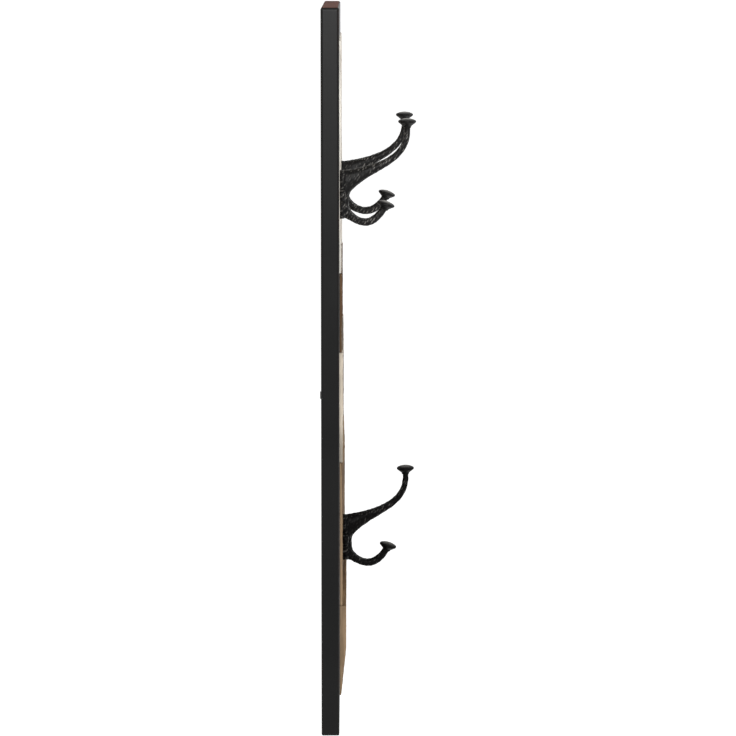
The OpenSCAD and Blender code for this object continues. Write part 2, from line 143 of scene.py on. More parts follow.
def report(piece: bpy.types.Object) -> None:
    """Logs a finished piece with the number of its faces."""
    log.info("%s: %d faces", piece.name, len(piece.data.polygons))


def lathe(profile: Sequence[tuple[float, float]], sides: int) -> Solid:
    """Turns a profile of (radius, height) about +Z, closed at both ends on the axis.

    Args:
        profile: points from the lower end on the axis to the upper end on the axis.
        sides: number of sides of the round.
    Returns:
        Points and faces of the closed shape.
    """
    points: list[Point] = [(0.0, 0.0, profile[0][1])]
    for radius, height in profile[1:-1]:
        for k in range(sides):
            a = 2 * math.pi * k / sides
            points.append((radius * math.cos(a), radius * math.sin(a), height))
    points.append((0.0, 0.0, profile[-1][1]))
    rings = len(profile) - 2
    faces: list[list[int]] = []
    for k in range(sides):
        n = (k + 1) % sides
        faces.append([0, 1 + n, 1 + k])
        for r in range(rings - 1):
            a, b = 1 + r * sides, 1 + (r + 1) * sides
            faces.append([a + k, a + n, b + n, b + k])
        last = 1 + (rings - 1) * sides
        faces.append([last + k, last + n, len(points) - 1])
    return points, faces


# ------------------------------------------------------------------ node tools

class Nodes:
    """Adds and links nodes in one tree, with its links written as node sockets."""

    def __init__(self, tree: bpy.types.NodeTree) -> None:
        """Keeps the tree that nodes are added to."""
        self.tree = tree

    def plug(self, node: bpy.types.Node, inputs: dict) -> None:
        """Links sockets to a node's inputs, or sets plain values there.

        Args:
            node: the node whose inputs are filled.
            inputs: values or sockets by input name or number.
        """
        for key, value in inputs.items():
            if isinstance(value, Socket):
                self.tree.links.new(value, node.inputs[key])
            else:
                node.inputs[key].default_value = value

    def add(self, kind: str, inputs: dict | None = None, **settings: object) -> bpy.types.Node:
        """Adds a node.

        Args:
            kind: the node's type name.
            inputs: values or sockets by input name or number.
            settings: properties of the node.
        Returns:
            The node.
        """
        node = self.tree.nodes.new(kind)
        for key, value in settings.items():
            setattr(node, key, value)
        self.plug(node, inputs or {})
        return node

    def math(self, operation: str, *values: object, clamp: bool = False) -> Socket:
        """A Math node's result."""
        node = self.add("ShaderNodeMath", dict(enumerate(values)), operation=operation, use_clamp=clamp)
        return node.outputs[0]

    def times(self, *values: object) -> Socket:
        """The product of two values."""
        return self.math("MULTIPLY", *values)

    def plus(self, *values: object) -> Socket:
        """The sum of two values."""
        return self.math("ADD", *values)

    def minus(self, *values: object) -> Socket:
        """The first value less the second."""
        return self.math("SUBTRACT", *values)

    def rest(self, value: Socket, clamp: bool = False) -> Socket:
        """What a value leaves of 1."""
        return self.math("SUBTRACT", 1.0, value, clamp=clamp)

    def vector(self, operation: str, *values: object) -> Socket:
        """A Vector Math node's result."""
        return self.add("ShaderNodeVectorMath", dict(enumerate(values)), operation=operation).outputs[0]

    def stretched(self, vector: Socket, factors: Point) -> Socket:
        """A vector with each of its axes multiplied by its own factor."""
        return self.vector("MULTIPLY", vector, factors)

    def split(self, vector: Socket) -> Sequence[Socket]:
        """The X, Y and Z of a vector."""
        return self.add("ShaderNodeSeparateXYZ", {0: vector}).outputs

    def joined(self, x: object = 0.0, y: object = 0.0, z: object = 0.0) -> Socket:
        """The vector of an X, a Y and a Z."""
        return self.add("ShaderNodeCombineXYZ", {0: x, 1: y, 2: z}).outputs[0]

    def distance(self, a: object, b: object) -> Socket:
        """The distance between two points."""
        return self.add("ShaderNodeVectorMath", {0: a, 1: b}, operation="DISTANCE").outputs["Value"]

    def noise(self, vector: Socket, scale: object, detail: float = 4.0, rough: float = 0.5) -> Socket:
        """A Noise Texture's value."""
        return self.add("ShaderNodeTexNoise", {"Vector": vector, "Scale": scale, "Detail": detail,
                                               "Roughness": rough}).outputs[0]

    def ramp(self, value: Socket, low: object, high: object) -> Socket:
        """A smooth step of the value, 0 at low and 1 at high."""
        return self.add("ShaderNodeMapRange", {"Value": value, "From Min": low, "From Max": high},
                        interpolation_type="SMOOTHSTEP").outputs[0]

    def mix(self, factor: object, a: object, b: object) -> Socket:
        """Colour a where the factor is 0 and b where it is 1."""
        return self.add("ShaderNodeMix", {0: factor, 6: a, 7: b}, data_type="RGBA").outputs[2]

    def bump(self, height: Socket, depth: float, strength: float = 1.0) -> Socket:
        """A Bump node's normal, for a height of 0 to 1 over the given depth in metres."""
        return self.add("ShaderNodeBump", {"Height": height, "Distance": depth,
                                           "Strength": strength}).outputs[0]


class Tree(Nodes):
    """A new node group with named inputs and outputs."""

    def __init__(self, name: str, kind: str, inputs: dict[str, tuple[str, object]],
                 outputs: dict[str, str]) -> None:
        """Makes the group and its sockets.

        Args:
            name: the group's name.
            kind: the tree's type name.
            inputs: each input's kind and default value, or None, by its name.
            outputs: each output's kind by its name.
        """
        super().__init__(bpy.data.node_groups.new(name, kind))
        sockets = self.tree.interface
        for label, (what, value) in inputs.items():
            socket = sockets.new_socket(name=label, in_out="INPUT", socket_type="NodeSocket" + what)
            if value is not None:
                socket.default_value = value
        for label, what in outputs.items():
            sockets.new_socket(name=label, in_out="OUTPUT", socket_type="NodeSocket" + what)
        self.inputs = self.add("NodeGroupInput").outputs
        self._outlet = self.add("NodeGroupOutput")

    def give(self, outputs: dict[str, Socket]) -> bpy.types.NodeTree:
        """Links the group's outputs by name, and returns the finished group."""
        self.plug(self._outlet, outputs)
        return self.tree


class GeometryTree(Tree):
    """A geometry tree with named inputs that ends as real geometry in one material."""

    def __init__(self, name: str, inputs: dict[str, tuple[str, object]]) -> None:
        """Starts the tree with its geometry, the named inputs and the material."""
        sockets = {"Geometry": ("Geometry", None), **inputs, "Material": ("Material", None)}
        super().__init__(name, "GeometryNodeTree", sockets, {"Geometry": "Geometry"})

    def dress(self, geometry: Socket) -> None:
        """Ends the tree: makes the geometry's instances real and sets its material.

        Args:
            geometry: what the tree has made.
        """
        real = self.add("GeometryNodeRealizeInstances", {"Geometry": geometry})
        dressed = self.add("GeometryNodeSetMaterial", {"Geometry": real.outputs[0],
                                                       "Material": self.inputs["Material"]})
        self.give({"Geometry": dressed.outputs[0]})

    def apply(self, start: bpy.types.Object, name: str, values: dict[str, object]) -> bpy.types.Object:
        """Runs the tree on an object.

        Args:
            start: the object that the tree takes its geometry from, and uses up.
            name: the new object's name.
            values: the tree's inputs by name.
        Returns:
            The result as a plain mesh object.
        """
        modifier = start.modifiers.new(self.tree.name, "NODES")
        modifier.node_group = self.tree
        for item in self.tree.interface.items_tree:
            if item.item_type == "SOCKET" and item.in_out == "INPUT" and item.name in values:
                modifier[item.identifier] = values[item.name]
        return evaluated(start, name)


class EffectGroups:
    """The shader node groups that several finishes share, each built once."""

    @cached_property
    def edge_wear(self) -> bpy.types.NodeTree:
        """Masks along the arrises and the corner mitres of a box-shaped assembly.

        Returns:
            The group, with outputs Wear and Joint, 0 to 1.
        """
        t = Tree("Edge wear", "ShaderNodeTree", {
            "Vector": ("Vector", None), "Centre": ("Vector", (0, 0, 0)), "Half Size": ("Vector", (1, 1, 1)),
            "Width": ("Float", 0.002), "Break Up": ("Float", 60.0), "Member": ("Float", 0.04)},
            {"Wear": "Float", "Joint": "Float"})
        from_centre = t.vector("ABSOLUTE", t.vector("SUBTRACT", t.inputs["Vector"], t.inputs["Centre"]))
        a, b, c = t.split(t.vector("SUBTRACT", t.inputs["Half Size"], from_centre))
        # an arris is where two of the three distances to the box are small
        second = t.math("MAXIMUM", t.math("MINIMUM", a, b), t.math("MINIMUM", t.math("MAXIMUM", a, b), c))
        rough = t.noise(t.inputs["Vector"], t.inputs["Break Up"], 5.0, 0.6)
        reach = t.times(t.inputs["Width"], t.times(rough, 2.0))
        wear = t.rest(t.ramp(second, t.times(reach, 0.3), reach), clamp=True)
        patchy = t.ramp(t.noise(t.inputs["Vector"], 14.0, 3.0), 0.42, 0.62)
        # a mitre is where the box's side and its end are equally far
        line = t.rest(t.ramp(t.math("ABSOLUTE", t.minus(a, c)), 0.0002, 0.0006))
        inside = t.math("LESS_THAN", t.math("MAXIMUM", a, c), t.inputs["Member"])
        return t.give({"Wear": t.times(wear, patchy), "Joint": t.times(line, inside)})

    @cached_property
    def grain(self) -> bpy.types.NodeTree:
        """Long-fibred wood grain along X.

        Returns:
            The group, with outputs Figure, Fibre and Height, all 0 to 1.
        """
        t = Tree("Board grain", "ShaderNodeTree", {
            "Vector": ("Vector", None), "Seed": ("Float", 0.0), "Stretch": ("Float", 0.05),
            "Figure Scale": ("Float", 45.0), "Fibre Scale": ("Float", 420.0)},
            {"Figure": "Float", "Fibre": "Float", "Height": "Float"})
        shift = t.joined(*[t.inputs["Seed"]] * 3)
        squeeze = t.joined(t.inputs["Stretch"], 1.0, 1.0)
        along = t.vector("ADD", t.stretched(t.inputs["Vector"], squeeze), shift)
        bend = t.add("ShaderNodeTexNoise", {"Vector": along, "Scale": 9.0, "Detail": 2.0})
        wavy = t.vector("MULTIPLY_ADD", bend.outputs["Color"], (0.03, 0.03, 0.03), along)
        figure = t.noise(wavy, t.inputs["Figure Scale"], 7.0, 0.62)
        fibre = t.noise(wavy, t.inputs["Fibre Scale"], 3.0, 0.7)
        height = t.plus(t.times(figure, 0.6), t.times(fibre, 0.4))
        return t.give({"Figure": figure, "Fibre": fibre, "Height": height})

    @cached_property
    def mottle(self) -> bpy.types.NodeTree:
        """Cloudy variation and fine speckle for metals, paint and felt.

        Returns:
            The group, with outputs Cloud, Speckle and Height, all 0 to 1.
        """
        t = Tree("Mottle", "ShaderNodeTree", {
            "Vector": ("Vector", None), "Cloud Scale": ("Float", 30.0), "Speckle Scale": ("Float", 900.0)},
            {"Cloud": "Float", "Speckle": "Float", "Height": "Float"})
        cloud = t.noise(t.inputs["Vector"], t.inputs["Cloud Scale"], 5.0, 0.55)
        speckle = t.noise(t.inputs["Vector"], t.inputs["Speckle Scale"], 2.0, 0.6)
        height = t.plus(t.times(cloud, 0.5), t.times(speckle, 0.5))
        return t.give({"Cloud": cloud, "Speckle": speckle, "Height": height})


EFFECTS = EffectGroups()


class Shader(Nodes):
    """A new material with its Principled BSDF and Object coordinates at hand."""

    def __init__(self, name: str) -> None:
        """Makes the material and its first nodes.

        Args:
            name: the material's name.
        """
        self.material = bpy.data.materials.new(name)
        self.material.use_nodes = True
        super().__init__(self.material.node_tree)
        self.surface = self.tree.nodes["Principled BSDF"]
        coordinates = self.add("ShaderNodeTexCoord")
        self.place = coordinates.outputs["Object"]
        self.normal = coordinates.outputs["Normal"]

    def group(self, tree: bpy.types.NodeTree, **inputs: object) -> Sequence[Socket]:
        """A shared group's outputs; an underscore in an input's name stands for a space."""
        return self.add("ShaderNodeGroup", self._spaced(inputs), node_tree=tree).outputs

    def finished(self, **inputs: object) -> bpy.types.Material:
        """The material, with the surface's sockets set or linked; names as in group."""
        self.plug(self.surface, self._spaced(inputs))
        return self.material

    @staticmethod
    def _spaced(inputs: dict[str, object]) -> dict[str, object]:
        """Inputs by the names that their sockets have."""
        return {key.replace("_", " "): value for key, value in inputs.items()}


# ------------------------------------------------------------------ finishes

@dataclass(frozen=True)
class BoardFinish:
    """One old board: the tones of its grain and its ends, and what weather and hands left on it.

    The whitewash and the painted shade on the end grain beside the frame go from 0 to 1. The end's
    fade is the foot and the top of the stretch in which the end grain turns darker downwards, and the
    share of its light left at the foot.
    """

    name: str
    dark: Colour
    light: Colour
    end: Colour
    wash: Colour
    wash_amount: float
    seed: float
    rough: float = 0.82
    frame_shade: float = 0.0
    end_fade: tuple[float, float, float] = (0.0, 0.0, 1.0)

    def build(self) -> bpy.types.Material:
        """Builds knotty grain, worn whitewash, saw marks and end grain.

        Returns:
            The material of one board.
        """
        s = Shader(self.name)
        grain = s.group(EFFECTS.grain, Vector=s.place, Seed=self.seed)
        shifted = s.vector("ADD", s.place, (self.seed, 0.0, self.seed * 0.7))
        tone = s.mix(s.ramp(grain["Figure"], 0.36, 0.66), self.dark, self.light)
        tone = self._with_knots(s, shifted, tone)
        # deep fibres stay dark
        deep = s.rest(s.ramp(grain["Fibre"], 0.34, 0.5))
        tone = s.mix(s.times(deep, 0.5), tone, scaled(self.dark, 0.5))
        tone = self._with_whitewash(s, shifted, grain["Fibre"], tone)
        is_end = s.ramp(s.math("ABSOLUTE", s.split(s.normal)[0]), 0.6, 0.85)
        _, y, z = s.split(s.place)
        tone = s.mix(is_end, tone, self._end_grain(s, shifted, z))
        # painted shade: the end grain is darkened where the board meets the frame
        near_frame = s.ramp(y, -FRAME_DEPTH - 0.0012, -FRAME_DEPTH - 0.0004)
        tone = s.mix(s.times(s.times(near_frame, is_end), self.frame_shade), tone, scaled(self.dark, 0.2))
        # saw marks run across the board
        saw = s.add("ShaderNodeTexWave", {"Vector": shifted, "Scale": 55.0, "Distortion": 3.0,
                                          "Detail": 2.0, "Detail Scale": 1.5}, bands_direction="X")
        height = s.plus(grain["Height"], s.times(saw.outputs[1], 0.18))
        rough = s.minus(self.rough + 0.06, s.times(grain["Fibre"], 0.15))
        return s.finished(Base_Color=tone, Roughness=rough, Normal=s.bump(height, 0.0006, 0.8),
                          Specular_IOR_Level=0.12)

    def _with_knots(self, s: Shader, shifted: Socket, tone: Socket) -> Socket:
        """Adds round knots far apart, whose rings darken towards their middle.

        Args:
            s: the material being built.
            shifted: the place in this board's own pattern.
            tone: the tone so far.
        Returns:
            The new tone.
        """
        cells = s.add("ShaderNodeTexVoronoi", {"Vector": s.stretched(shifted, (1.0, 0.0, 1.6)),
                                               "Scale": 6.5, "Randomness": 0.9})
        knot = s.rest(s.ramp(cells.outputs["Distance"], 0.045, 0.11))
        rings = s.math("FRACT", s.times(cells.outputs["Distance"], 60.0))
        return s.mix(s.times(knot, s.plus(0.55, s.times(rings, 0.35))), tone, scaled(self.dark, 0.35))

    def _with_whitewash(self, s: Shader, shifted: Socket, fibre: Socket, tone: Socket) -> Socket:
        """Adds what is left of the whitewash, in patches and thin on the ridges.

        Args:
            s: the material being built.
            shifted: the place in this board's own pattern.
            fibre: the grain's fibres, 0 to 1.
            tone: the tone so far.
        Returns:
            The new tone.
        """
        patch = s.noise(s.stretched(shifted, (0.25, 1.0, 1.0)), 16.0, 6.0, 0.62)
        low = 0.62 - 0.42 * self.wash_amount
        cover = s.times(s.ramp(patch, low, low + 0.16), s.ramp(fibre, 0.3, 0.48))
        return s.mix(s.times(cover, 0.9), tone, self.wash)

    def _end_grain(self, s: Shader, shifted: Socket, z: Socket) -> Socket:
        """Builds end grain in rings and blotches, darker at the foot where it fades.

        Args:
            s: the material being built.
            shifted: the place in this board's own pattern.
            z: height of the place.
        Returns:
            The tone of the sawn ends.
        """
        rings = s.noise(s.stretched(shifted, (1.0, 1.0, 0.05)), 330.0, 3.0, 0.55)
        blotch = s.noise(shifted, 34.0, 4.0, 0.6)
        pale = s.plus(s.times(s.ramp(rings, 0.36, 0.64), 0.7), s.times(s.ramp(blotch, 0.3, 0.6), 0.3))
        tone = s.mix(pale, scaled(self.end, 0.62), self.end)
        foot, top, left = self.end_fade
        if left < 1.0:
            kept = s.plus(left, s.times(s.ramp(z, foot, top), 1.0 - left))
            tone = s.mix(kept, rgb(0, 0, 0), tone)
        return tone


@dataclass(frozen=True)
class PaintFinish:
    """Satin black paint over brown wood, rubbed through along the arrises."""

    name: str
    half_size: Point
    centre: Point
    wear_width: float
    bare_top: bool
    paint: Colour = rgb(9, 9, 9)
    wood: Colour = rgb(46, 27, 18)
    top: Colour = rgb(88, 50, 38)
    mitre: Colour = (0.002, 0.002, 0.002, 1.0)

    def build(self) -> bpy.types.Material:
        """Builds brush drag, rubbed edges, mitre lines and the bare top face.

        Returns:
            The paint's material.
        """
        s = Shader(self.name)
        worn = s.group(EFFECTS.edge_wear, Vector=s.place, Centre=self.centre, Half_Size=self.half_size,
                       Width=self.wear_width)
        clouds = s.group(EFFECTS.mottle, Vector=s.place, Cloud_Scale=9.0, Speckle_Scale=700.0)
        drag = s.noise(s.stretched(s.place, (1.0, 1.0, 0.06)), 500.0, 3.0, 0.6)
        tone = s.mix(s.ramp(clouds["Cloud"], 0.35, 0.7), self.paint, scaled(self.paint, 1.5))
        tone = s.mix(s.times(worn["Wear"], 0.7), tone, self.wood)
        tone = s.mix(s.times(worn["Joint"], 0.8), tone, self.mitre)
        dull = worn["Wear"]
        if self.bare_top:
            shown, bare = self._bare_wood(s)
            tone = s.mix(shown, tone, bare)
            dull = s.math("MAXIMUM", dull, shown)
        gloss = s.plus(0.31, s.times(clouds["Cloud"], 0.12))
        return s.finished(Base_Color=tone, Roughness=s.plus(gloss, s.times(dull, 0.5)),
                          Normal=s.bump(s.plus(drag, clouds["Height"]), 0.00008, 0.5),
                          Specular_IOR_Level=0.14)

    def _bare_wood(self, s: Shader) -> tuple[Socket, Socket]:
        """Builds the top face, rubbed to its wood.

        Args:
            s: the material being built.
        Returns:
            A mask of the bare wood, and its tone.
        """
        up = s.ramp(s.split(s.normal)[2], 0.75, 0.95)
        at_top = s.math("GREATER_THAN", s.split(s.place)[2], self.half_size[2] - 0.006)
        rubbed = s.ramp(s.noise(s.stretched(s.place, (0.2, 1.0, 1.0)), 60.0, 5.0, 0.6), 0.25, 0.5)
        return s.times(s.times(up, at_top), 0.95), s.mix(rubbed, self.wood, self.top)


@dataclass(frozen=True)
class MetalFinish:
    """A metal or its coating: two tones, how rough it is, and how deep its fine texture goes."""

    name: str
    tone: Colour
    second: Colour
    metallic: float
    rough: float
    rough_spread: float
    cloud_scale: float
    speckle_scale: float
    depth: float

    def build(self) -> bpy.types.Material:
        """Builds clouded tone and roughness, with a fine bump.

        Returns:
            The metal's material.
        """
        s = Shader(self.name)
        m = s.group(EFFECTS.mottle, Vector=s.place, Cloud_Scale=self.cloud_scale,
                    Speckle_Scale=self.speckle_scale)
        tone = s.mix(s.ramp(m["Cloud"], 0.35, 0.68), self.tone, self.second)
        rough = s.plus(self.rough, s.times(s.minus(m["Cloud"], 0.5), self.rough_spread))
        return s.finished(Base_Color=tone, Metallic=self.metallic, Roughness=rough,
                          Normal=s.bump(m["Height"], self.depth, 0.7))


@dataclass(frozen=True)
class IronFinish:
    """Hammered cast iron under black wax, with rubbed grey marks and painted highlights along its dimples."""

    name: str = "cast_iron"
    hollow: Colour = rgb(6, 6, 6)
    body: Colour = rgb(15, 14, 14)
    ridge: Colour = rgb(158, 155, 150)
    specular: float = 0.12

    def build(self) -> bpy.types.Material:
        """Builds black wax, made light grey where the mesh's attribute says so: partly rubbed metal, partly
        painted highlight.

        Returns:
            The iron's material.
        """
        s = Shader(self.name)
        m = s.group(EFFECTS.mottle, Vector=s.place, Cloud_Scale=190.0, Speckle_Scale=1500.0)
        ridge = s.add("ShaderNodeAttribute", attribute_name="ridge").outputs["Fac"]
        # the light tone laid by the mesh's attribute is partly rubbed metal and partly painted highlight
        rubbed = s.times(ridge, s.ramp(m["Cloud"], 0.2, 0.55))
        tone = s.mix(s.ramp(m["Speckle"], 0.3, 0.7), self.hollow, self.body)
        return s.finished(Base_Color=s.mix(s.times(rubbed, 0.75), tone, self.ridge),
                          Roughness=s.minus(0.44, s.times(ridge, 0.12)),
                          Normal=s.bump(m["Height"], 0.00015, 0.6), Specular_IOR_Level=self.specular)


@dataclass(frozen=True)
class SheetFinish:
    """Plain sheet or softwood of the back: fine fibres in two tones."""

    name: str
    dark: Colour
    light: Colour
    stretch: float
    figure: float
    seed: float

    def build(self) -> bpy.types.Material:
        """Builds grain or flecks along X, with faint stains.

        Returns:
            The back's material.
        """
        s = Shader(self.name)
        grain = s.group(EFFECTS.grain, Vector=s.place, Seed=self.seed, Stretch=self.stretch,
                        Figure_Scale=self.figure, Fibre_Scale=self.figure * 7)
        stain = s.noise(s.place, 7.0, 4.0, 0.55)
        mixed = s.plus(s.times(grain["Figure"], 0.65), s.times(stain, 0.35))
        return s.finished(Base_Color=s.mix(s.ramp(mixed, 0.36, 0.64), self.dark, self.light),
                          Roughness=s.minus(0.85, s.times(stain, 0.2)),
                          Normal=s.bump(grain["Height"], 0.0003, 0.6), Specular_IOR_Level=0.3)


@dataclass(frozen=True)
class MirrorFinish:
    """Silvered glass: a bright face, with greenish ground edges and back."""

    name: str = "silvered_glass"
    silver: Colour = rgb(232, 236, 236)
    edge: Colour = rgb(92, 128, 112)

    def build(self) -> bpy.types.Material:
        """Builds glass that is silvered on its front face alone.

        Returns:
            The glass's material.
        """
        s = Shader(self.name)
        front = s.math("LESS_THAN", s.split(s.normal)[1], -0.9)
        haze = s.times(s.ramp(s.noise(s.place, 9.0, 4.0, 0.6), 0.5, 0.9), 0.03)
        return s.finished(Base_Color=s.mix(front, self.edge, self.silver), Metallic=front,
                          Roughness=s.plus(haze, s.times(s.rest(front), 0.3)))


@dataclass(frozen=True)
class FeltFinish:
    """Pressed felt of the wall pads."""

    name: str = "felt"
    dark: Colour = rgb(38, 35, 33)
    light: Colour = rgb(78, 72, 68)

    def build(self) -> bpy.types.Material:
        """Builds fuzzy speckle with a soft sheen.

        Returns:
            The felt's material.
        """
        s = Shader(self.name)
        m = s.group(EFFECTS.mottle, Vector=s.place, Cloud_Scale=500.0, Speckle_Scale=2600.0)
        return s.finished(Base_Color=s.mix(s.ramp(m["Speckle"], 0.35, 0.65), self.dark, self.light),
                          Roughness=s.minus(1.0, s.times(m["Cloud"], 0.1)),
                          Normal=s.bump(m["Height"], 0.0004), Sheen_Weight=0.4)


# ------------------------------------------------------------------ boards

class BoardTone(Enum):
    """The four looks of the old boards."""

    PALE = "pale_boards"
    DARK = "dark_boards"
    GREY = "grey_boards"
    BROWN = "brown_boards"

    def finish(self, name: str, seed: float) -> BoardFinish:
        """The finish of one board of this tone, with a grain of its own.

        Args:
            name: the material's name.
            seed: sets the grain apart from the other boards'.
        Returns:
            The board's finish.
        """
        if self is BoardTone.PALE:
            return BoardFinish(name, rgb(150, 128, 108), rgb(203, 188, 170), rgb(250, 245, 234),
                               rgb(240, 234, 224), 0.85, seed)
        # the dark and the brown boards get painted shade on their end grain beside the frame
        if self is BoardTone.DARK:
            return BoardFinish(name, rgb(66, 48, 36), rgb(122, 92, 70), rgb(107, 84, 62),
                               rgb(170, 160, 146), 0.12, seed, frame_shade=0.8)
        if self is BoardTone.GREY:
            return BoardFinish(name, rgb(132, 116, 100), rgb(186, 170, 152), rgb(226, 213, 194),
                               rgb(224, 216, 204), 0.5, seed)
        return BoardFinish(name, rgb(84, 64, 43), rgb(153, 126, 93), rgb(157, 133, 106),
                           rgb(190, 178, 160), 0.2, seed, frame_shade=0.8)


@dataclass
class Board:
    """One board of the field, as it is placed in the CAD model, and how time has worn it.

    The foot's bevel and the head's taper are each the height of a stretch and the depth that it is
    worn back. The left end's fall is its depth, where along X it is full, and where it has gone;
    it sets in between the two heights of full_foot. The end's light is the share of its tone's.
    """

    node: str
    tone: BoardTone
    seed: float
    opening: float = 0.1535
    edge_wear: float = 0.0016
    step: float = 0.0032
    worn: float = 0.0002
    fibre_depth: float = 0.0003
    swell_depth: float = 0.0003
    gouge_depth: float = 0.002
    foot_bevel: tuple[float, float] = (0.0, 0.0)
    head_taper: tuple[float, float] = (0.0, 0.0)
    end_light: float = 1.0
    end_fade: tuple[float, float, float] = (0.0, 0.0, 1.0)
    left_fall: tuple[float, float, float] = (0.0, 0.0, 0.0)
    full_foot: tuple[float, float] = (-1.0, -0.9)

    def build(self) -> bpy.types.Object:
        """Makes the weathered board, its front worn inwards from the CAD board's faces.

        Returns:
            The board's object, dressed and slotted.
        """
        low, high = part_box(self.node)
        xs = self._lines(low.x, high.x)
        zs = self._lines(low.z, high.z)
        notch = self._notch(low, high)
        if notch:
            xs = sorted(set(xs + self._near(-self.opening) + self._near(self.opening)))
            zs = sorted(set(zs + self._near(notch[0]) + self._near(notch[1])))
            zs = [z for z in zs if low.z <= z <= high.z]
        points, faces = self._slab(xs, zs, low, high, notch)
        piece = mesh_object(self.node.replace("plank", "board"), points, faces)
        crease(piece, 50)
        finish = self.tone.finish(self.node + "_wood", self.seed)
        finish = replace(finish, end=scaled(finish.end, self.end_light), end_fade=self.end_fade)
        piece.data.materials.append(finish.build())
        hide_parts(self.node)
        return piece

    def _lines(self, a: float, b: float) -> list[float]:
        """Lays grid lines, close together near both ends where the arrises are worn.

        Args:
            a: the lower end.
            b: the upper end.
        Returns:
            The lines in order.
        """
        margin = ARRIS_LINES[-1]
        count = max(1, round((b - a - 2 * margin) / self.step))
        middle = np.linspace(a + margin, b - margin, count + 1)
        ends = [*(a + d for d in ARRIS_LINES), *(b - d for d in ARRIS_LINES)]
        return sorted({round(float(v), 6) for v in [*ends, *middle]})

    @staticmethod
    def _near(at: float) -> list[float]:
        """Close grid lines on both sides of an inner edge."""
        return [round(at + side * d, 6) for side in (-1, 1) for d in INNER_LINES]

    def _notch(self, low: Vector, high: Vector) -> tuple[float, float] | None:
        """Finds the heights between which the mirror's opening cuts this board.

        Args:
            low: lowest corner of the board.
            high: highest corner of the board.
        Returns:
            The notch's foot and top, or None where the board isn't cut.
        """
        beside, least = 0.01, 0.002                   # wood on both sides of it, and its height
        crosses = low.x < -self.opening - beside and high.x > self.opening + beside
        foot, top = max(low.z, -self.opening), min(high.z, self.opening)
        return (foot, top) if crosses and top - foot > least else None

    def _slab(self, xs: list[float], zs: list[float], low: Vector, high: Vector,
              notch: tuple[float, float] | None) -> Solid:
        """Front and back grids with the walls between them.

        Args:
            xs: grid lines along the board.
            zs: grid lines across the board.
            low: lowest corner of the board.
            high: highest corner of the board.
            notch: heights between which the opening is cut out, or None.
        Returns:
            Points and faces of the closed board.
        """
        wall_depth = 0.002                            # of the walls' first band, behind the front

        def solid(i: int, j: int) -> bool:
            """Tells wood from the opening and from what lies beyond the board.

            Args:
                i: number of the grid line before the cell along X.
                j: and along Z.
            Returns:
                Whether the cell is wood.
            """
            if not (0 <= i < len(xs) - 1 and 0 <= j < len(zs) - 1):
                return False
            x, z = (xs[i] + xs[i + 1]) / 2, (zs[j] + zs[j + 1]) / 2
            return not (notch and abs(x) < self.opening and notch[0] < z < notch[1])

        def border(x: float, z: float) -> float:
            """Measures the way to the nearest edge of the board's face.

            Args:
                x: the place along the board.
                z: the place across the board.
            Returns:
                The distance, or 0 outside the face.
            """
            d = min(x - low.x, high.x - x, z - low.z, high.z - z)
            if notch:
                dx = max(abs(x) - self.opening, 0.0)
                dz = max(notch[0] - z, z - notch[1], 0.0)
                d = min(d, math.hypot(dx, dz))
            return max(d, 0.0)

        index: dict[tuple[int, int, int], int] = {}
        points: list[Point] = []

        def corner(i: int, j: int, layer: int) -> int:
            """Numbers a grid point, and adds it when it is new.

            Args:
                i: number of its grid line along X.
                j: number of its grid line along Z.
                layer: 0 on the front, 1 behind the first band, 2 on the back.
            Returns:
                The corner's number.
            """
            key = (i, j, layer)
            if key not in index:
                x, z = xs[i], zs[j]
                front = self._front(x, z, low, high, border(x, z))
                index[key] = len(points)
                points.append((x, (front, front + wall_depth, high.y)[layer], z))
            return index[key]

        faces: list[list[int]] = []
        for i in range(len(xs) - 1):
            for j in range(len(zs) - 1):
                if not solid(i, j):
                    continue
                here, right, across, above = (i, j), (i + 1, j), (i + 1, j + 1), (i, j + 1)
                faces.append([corner(*p, 0) for p in (here, right, across, above)])
                faces.append([corner(*p, 2) for p in (here, above, across, right)])
                for di, dj, p, q in ((-1, 0, above, here), (1, 0, right, across),
                                     (0, -1, here, right), (0, 1, across, above)):
                    if solid(i + di, j + dj):
                        continue
                    for upper, lower in ((0, 1), (1, 2)):
                        wall = ((p, upper), (p, lower), (q, lower), (q, upper))
                        faces.append([corner(*place, layer) for place, layer in wall])
        return points, faces

    def _front(self, x: float, z: float, low: Vector, high: Vector, d: float) -> float:
        """How far forward the worn face stands, never past the CAD board's.

        Args:
            x: the place along the board.
            z: the place across the board.
            low: lowest corner of the board.
            high: highest corner of the board.
            d: distance of the place to the nearest edge of the face.
        Returns:
            Y of the worn face.
        """
        s = self.seed * 7.3
        fibre = noise.fractal(Vector((x * 9 + s, z * 160, s)), 0.7, 2.1, 5)
        swell = noise.noise(Vector((x * 7 + s, z * 16, s + 3)))
        gouge = max(0.0, noise.noise(Vector((x * 30, z * 60 + s, s + 9))) - 0.42)
        chip = max(0.0, noise.noise(Vector((x * 45 + s, z * 45, s + 5))))
        inward = self.worn + self.fibre_depth * fibre + self.swell_depth * swell + self.gouge_depth * gouge
        radius = self.edge_wear * (0.7 + 1.3 * chip)
        if d < radius:
            inward += radius - math.sqrt(max(0.0, radius ** 2 - (radius - d) ** 2))
        height, depth = self.foot_bevel
        if height and z < low.z + height:
            inward += depth * (low.z + height - z) / height
        height, depth = self.head_taper
        if height and z > high.z - height:
            inward += depth * ((z - high.z + height) / height) ** 1.5
        depth, full_at, gone_at = self.left_fall
        if depth:
            foot, top = self.full_foot
            inward += depth * eased((gone_at - x) / (gone_at - full_at)) * eased((z - foot) / (top - foot))
        return low.y + max(0.0, inward)

    def covers(self, x: float, z: float) -> bool:
        """Whether a place on the panel's front lies on this board."""
        return in_box(self.node, x, z)

    def face_at(self, x: float, z: float) -> float:
        """Y of the worn face at a place away from the board's edges."""
        low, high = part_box(self.node)
        return self._front(x, z, low, high, 1.0)


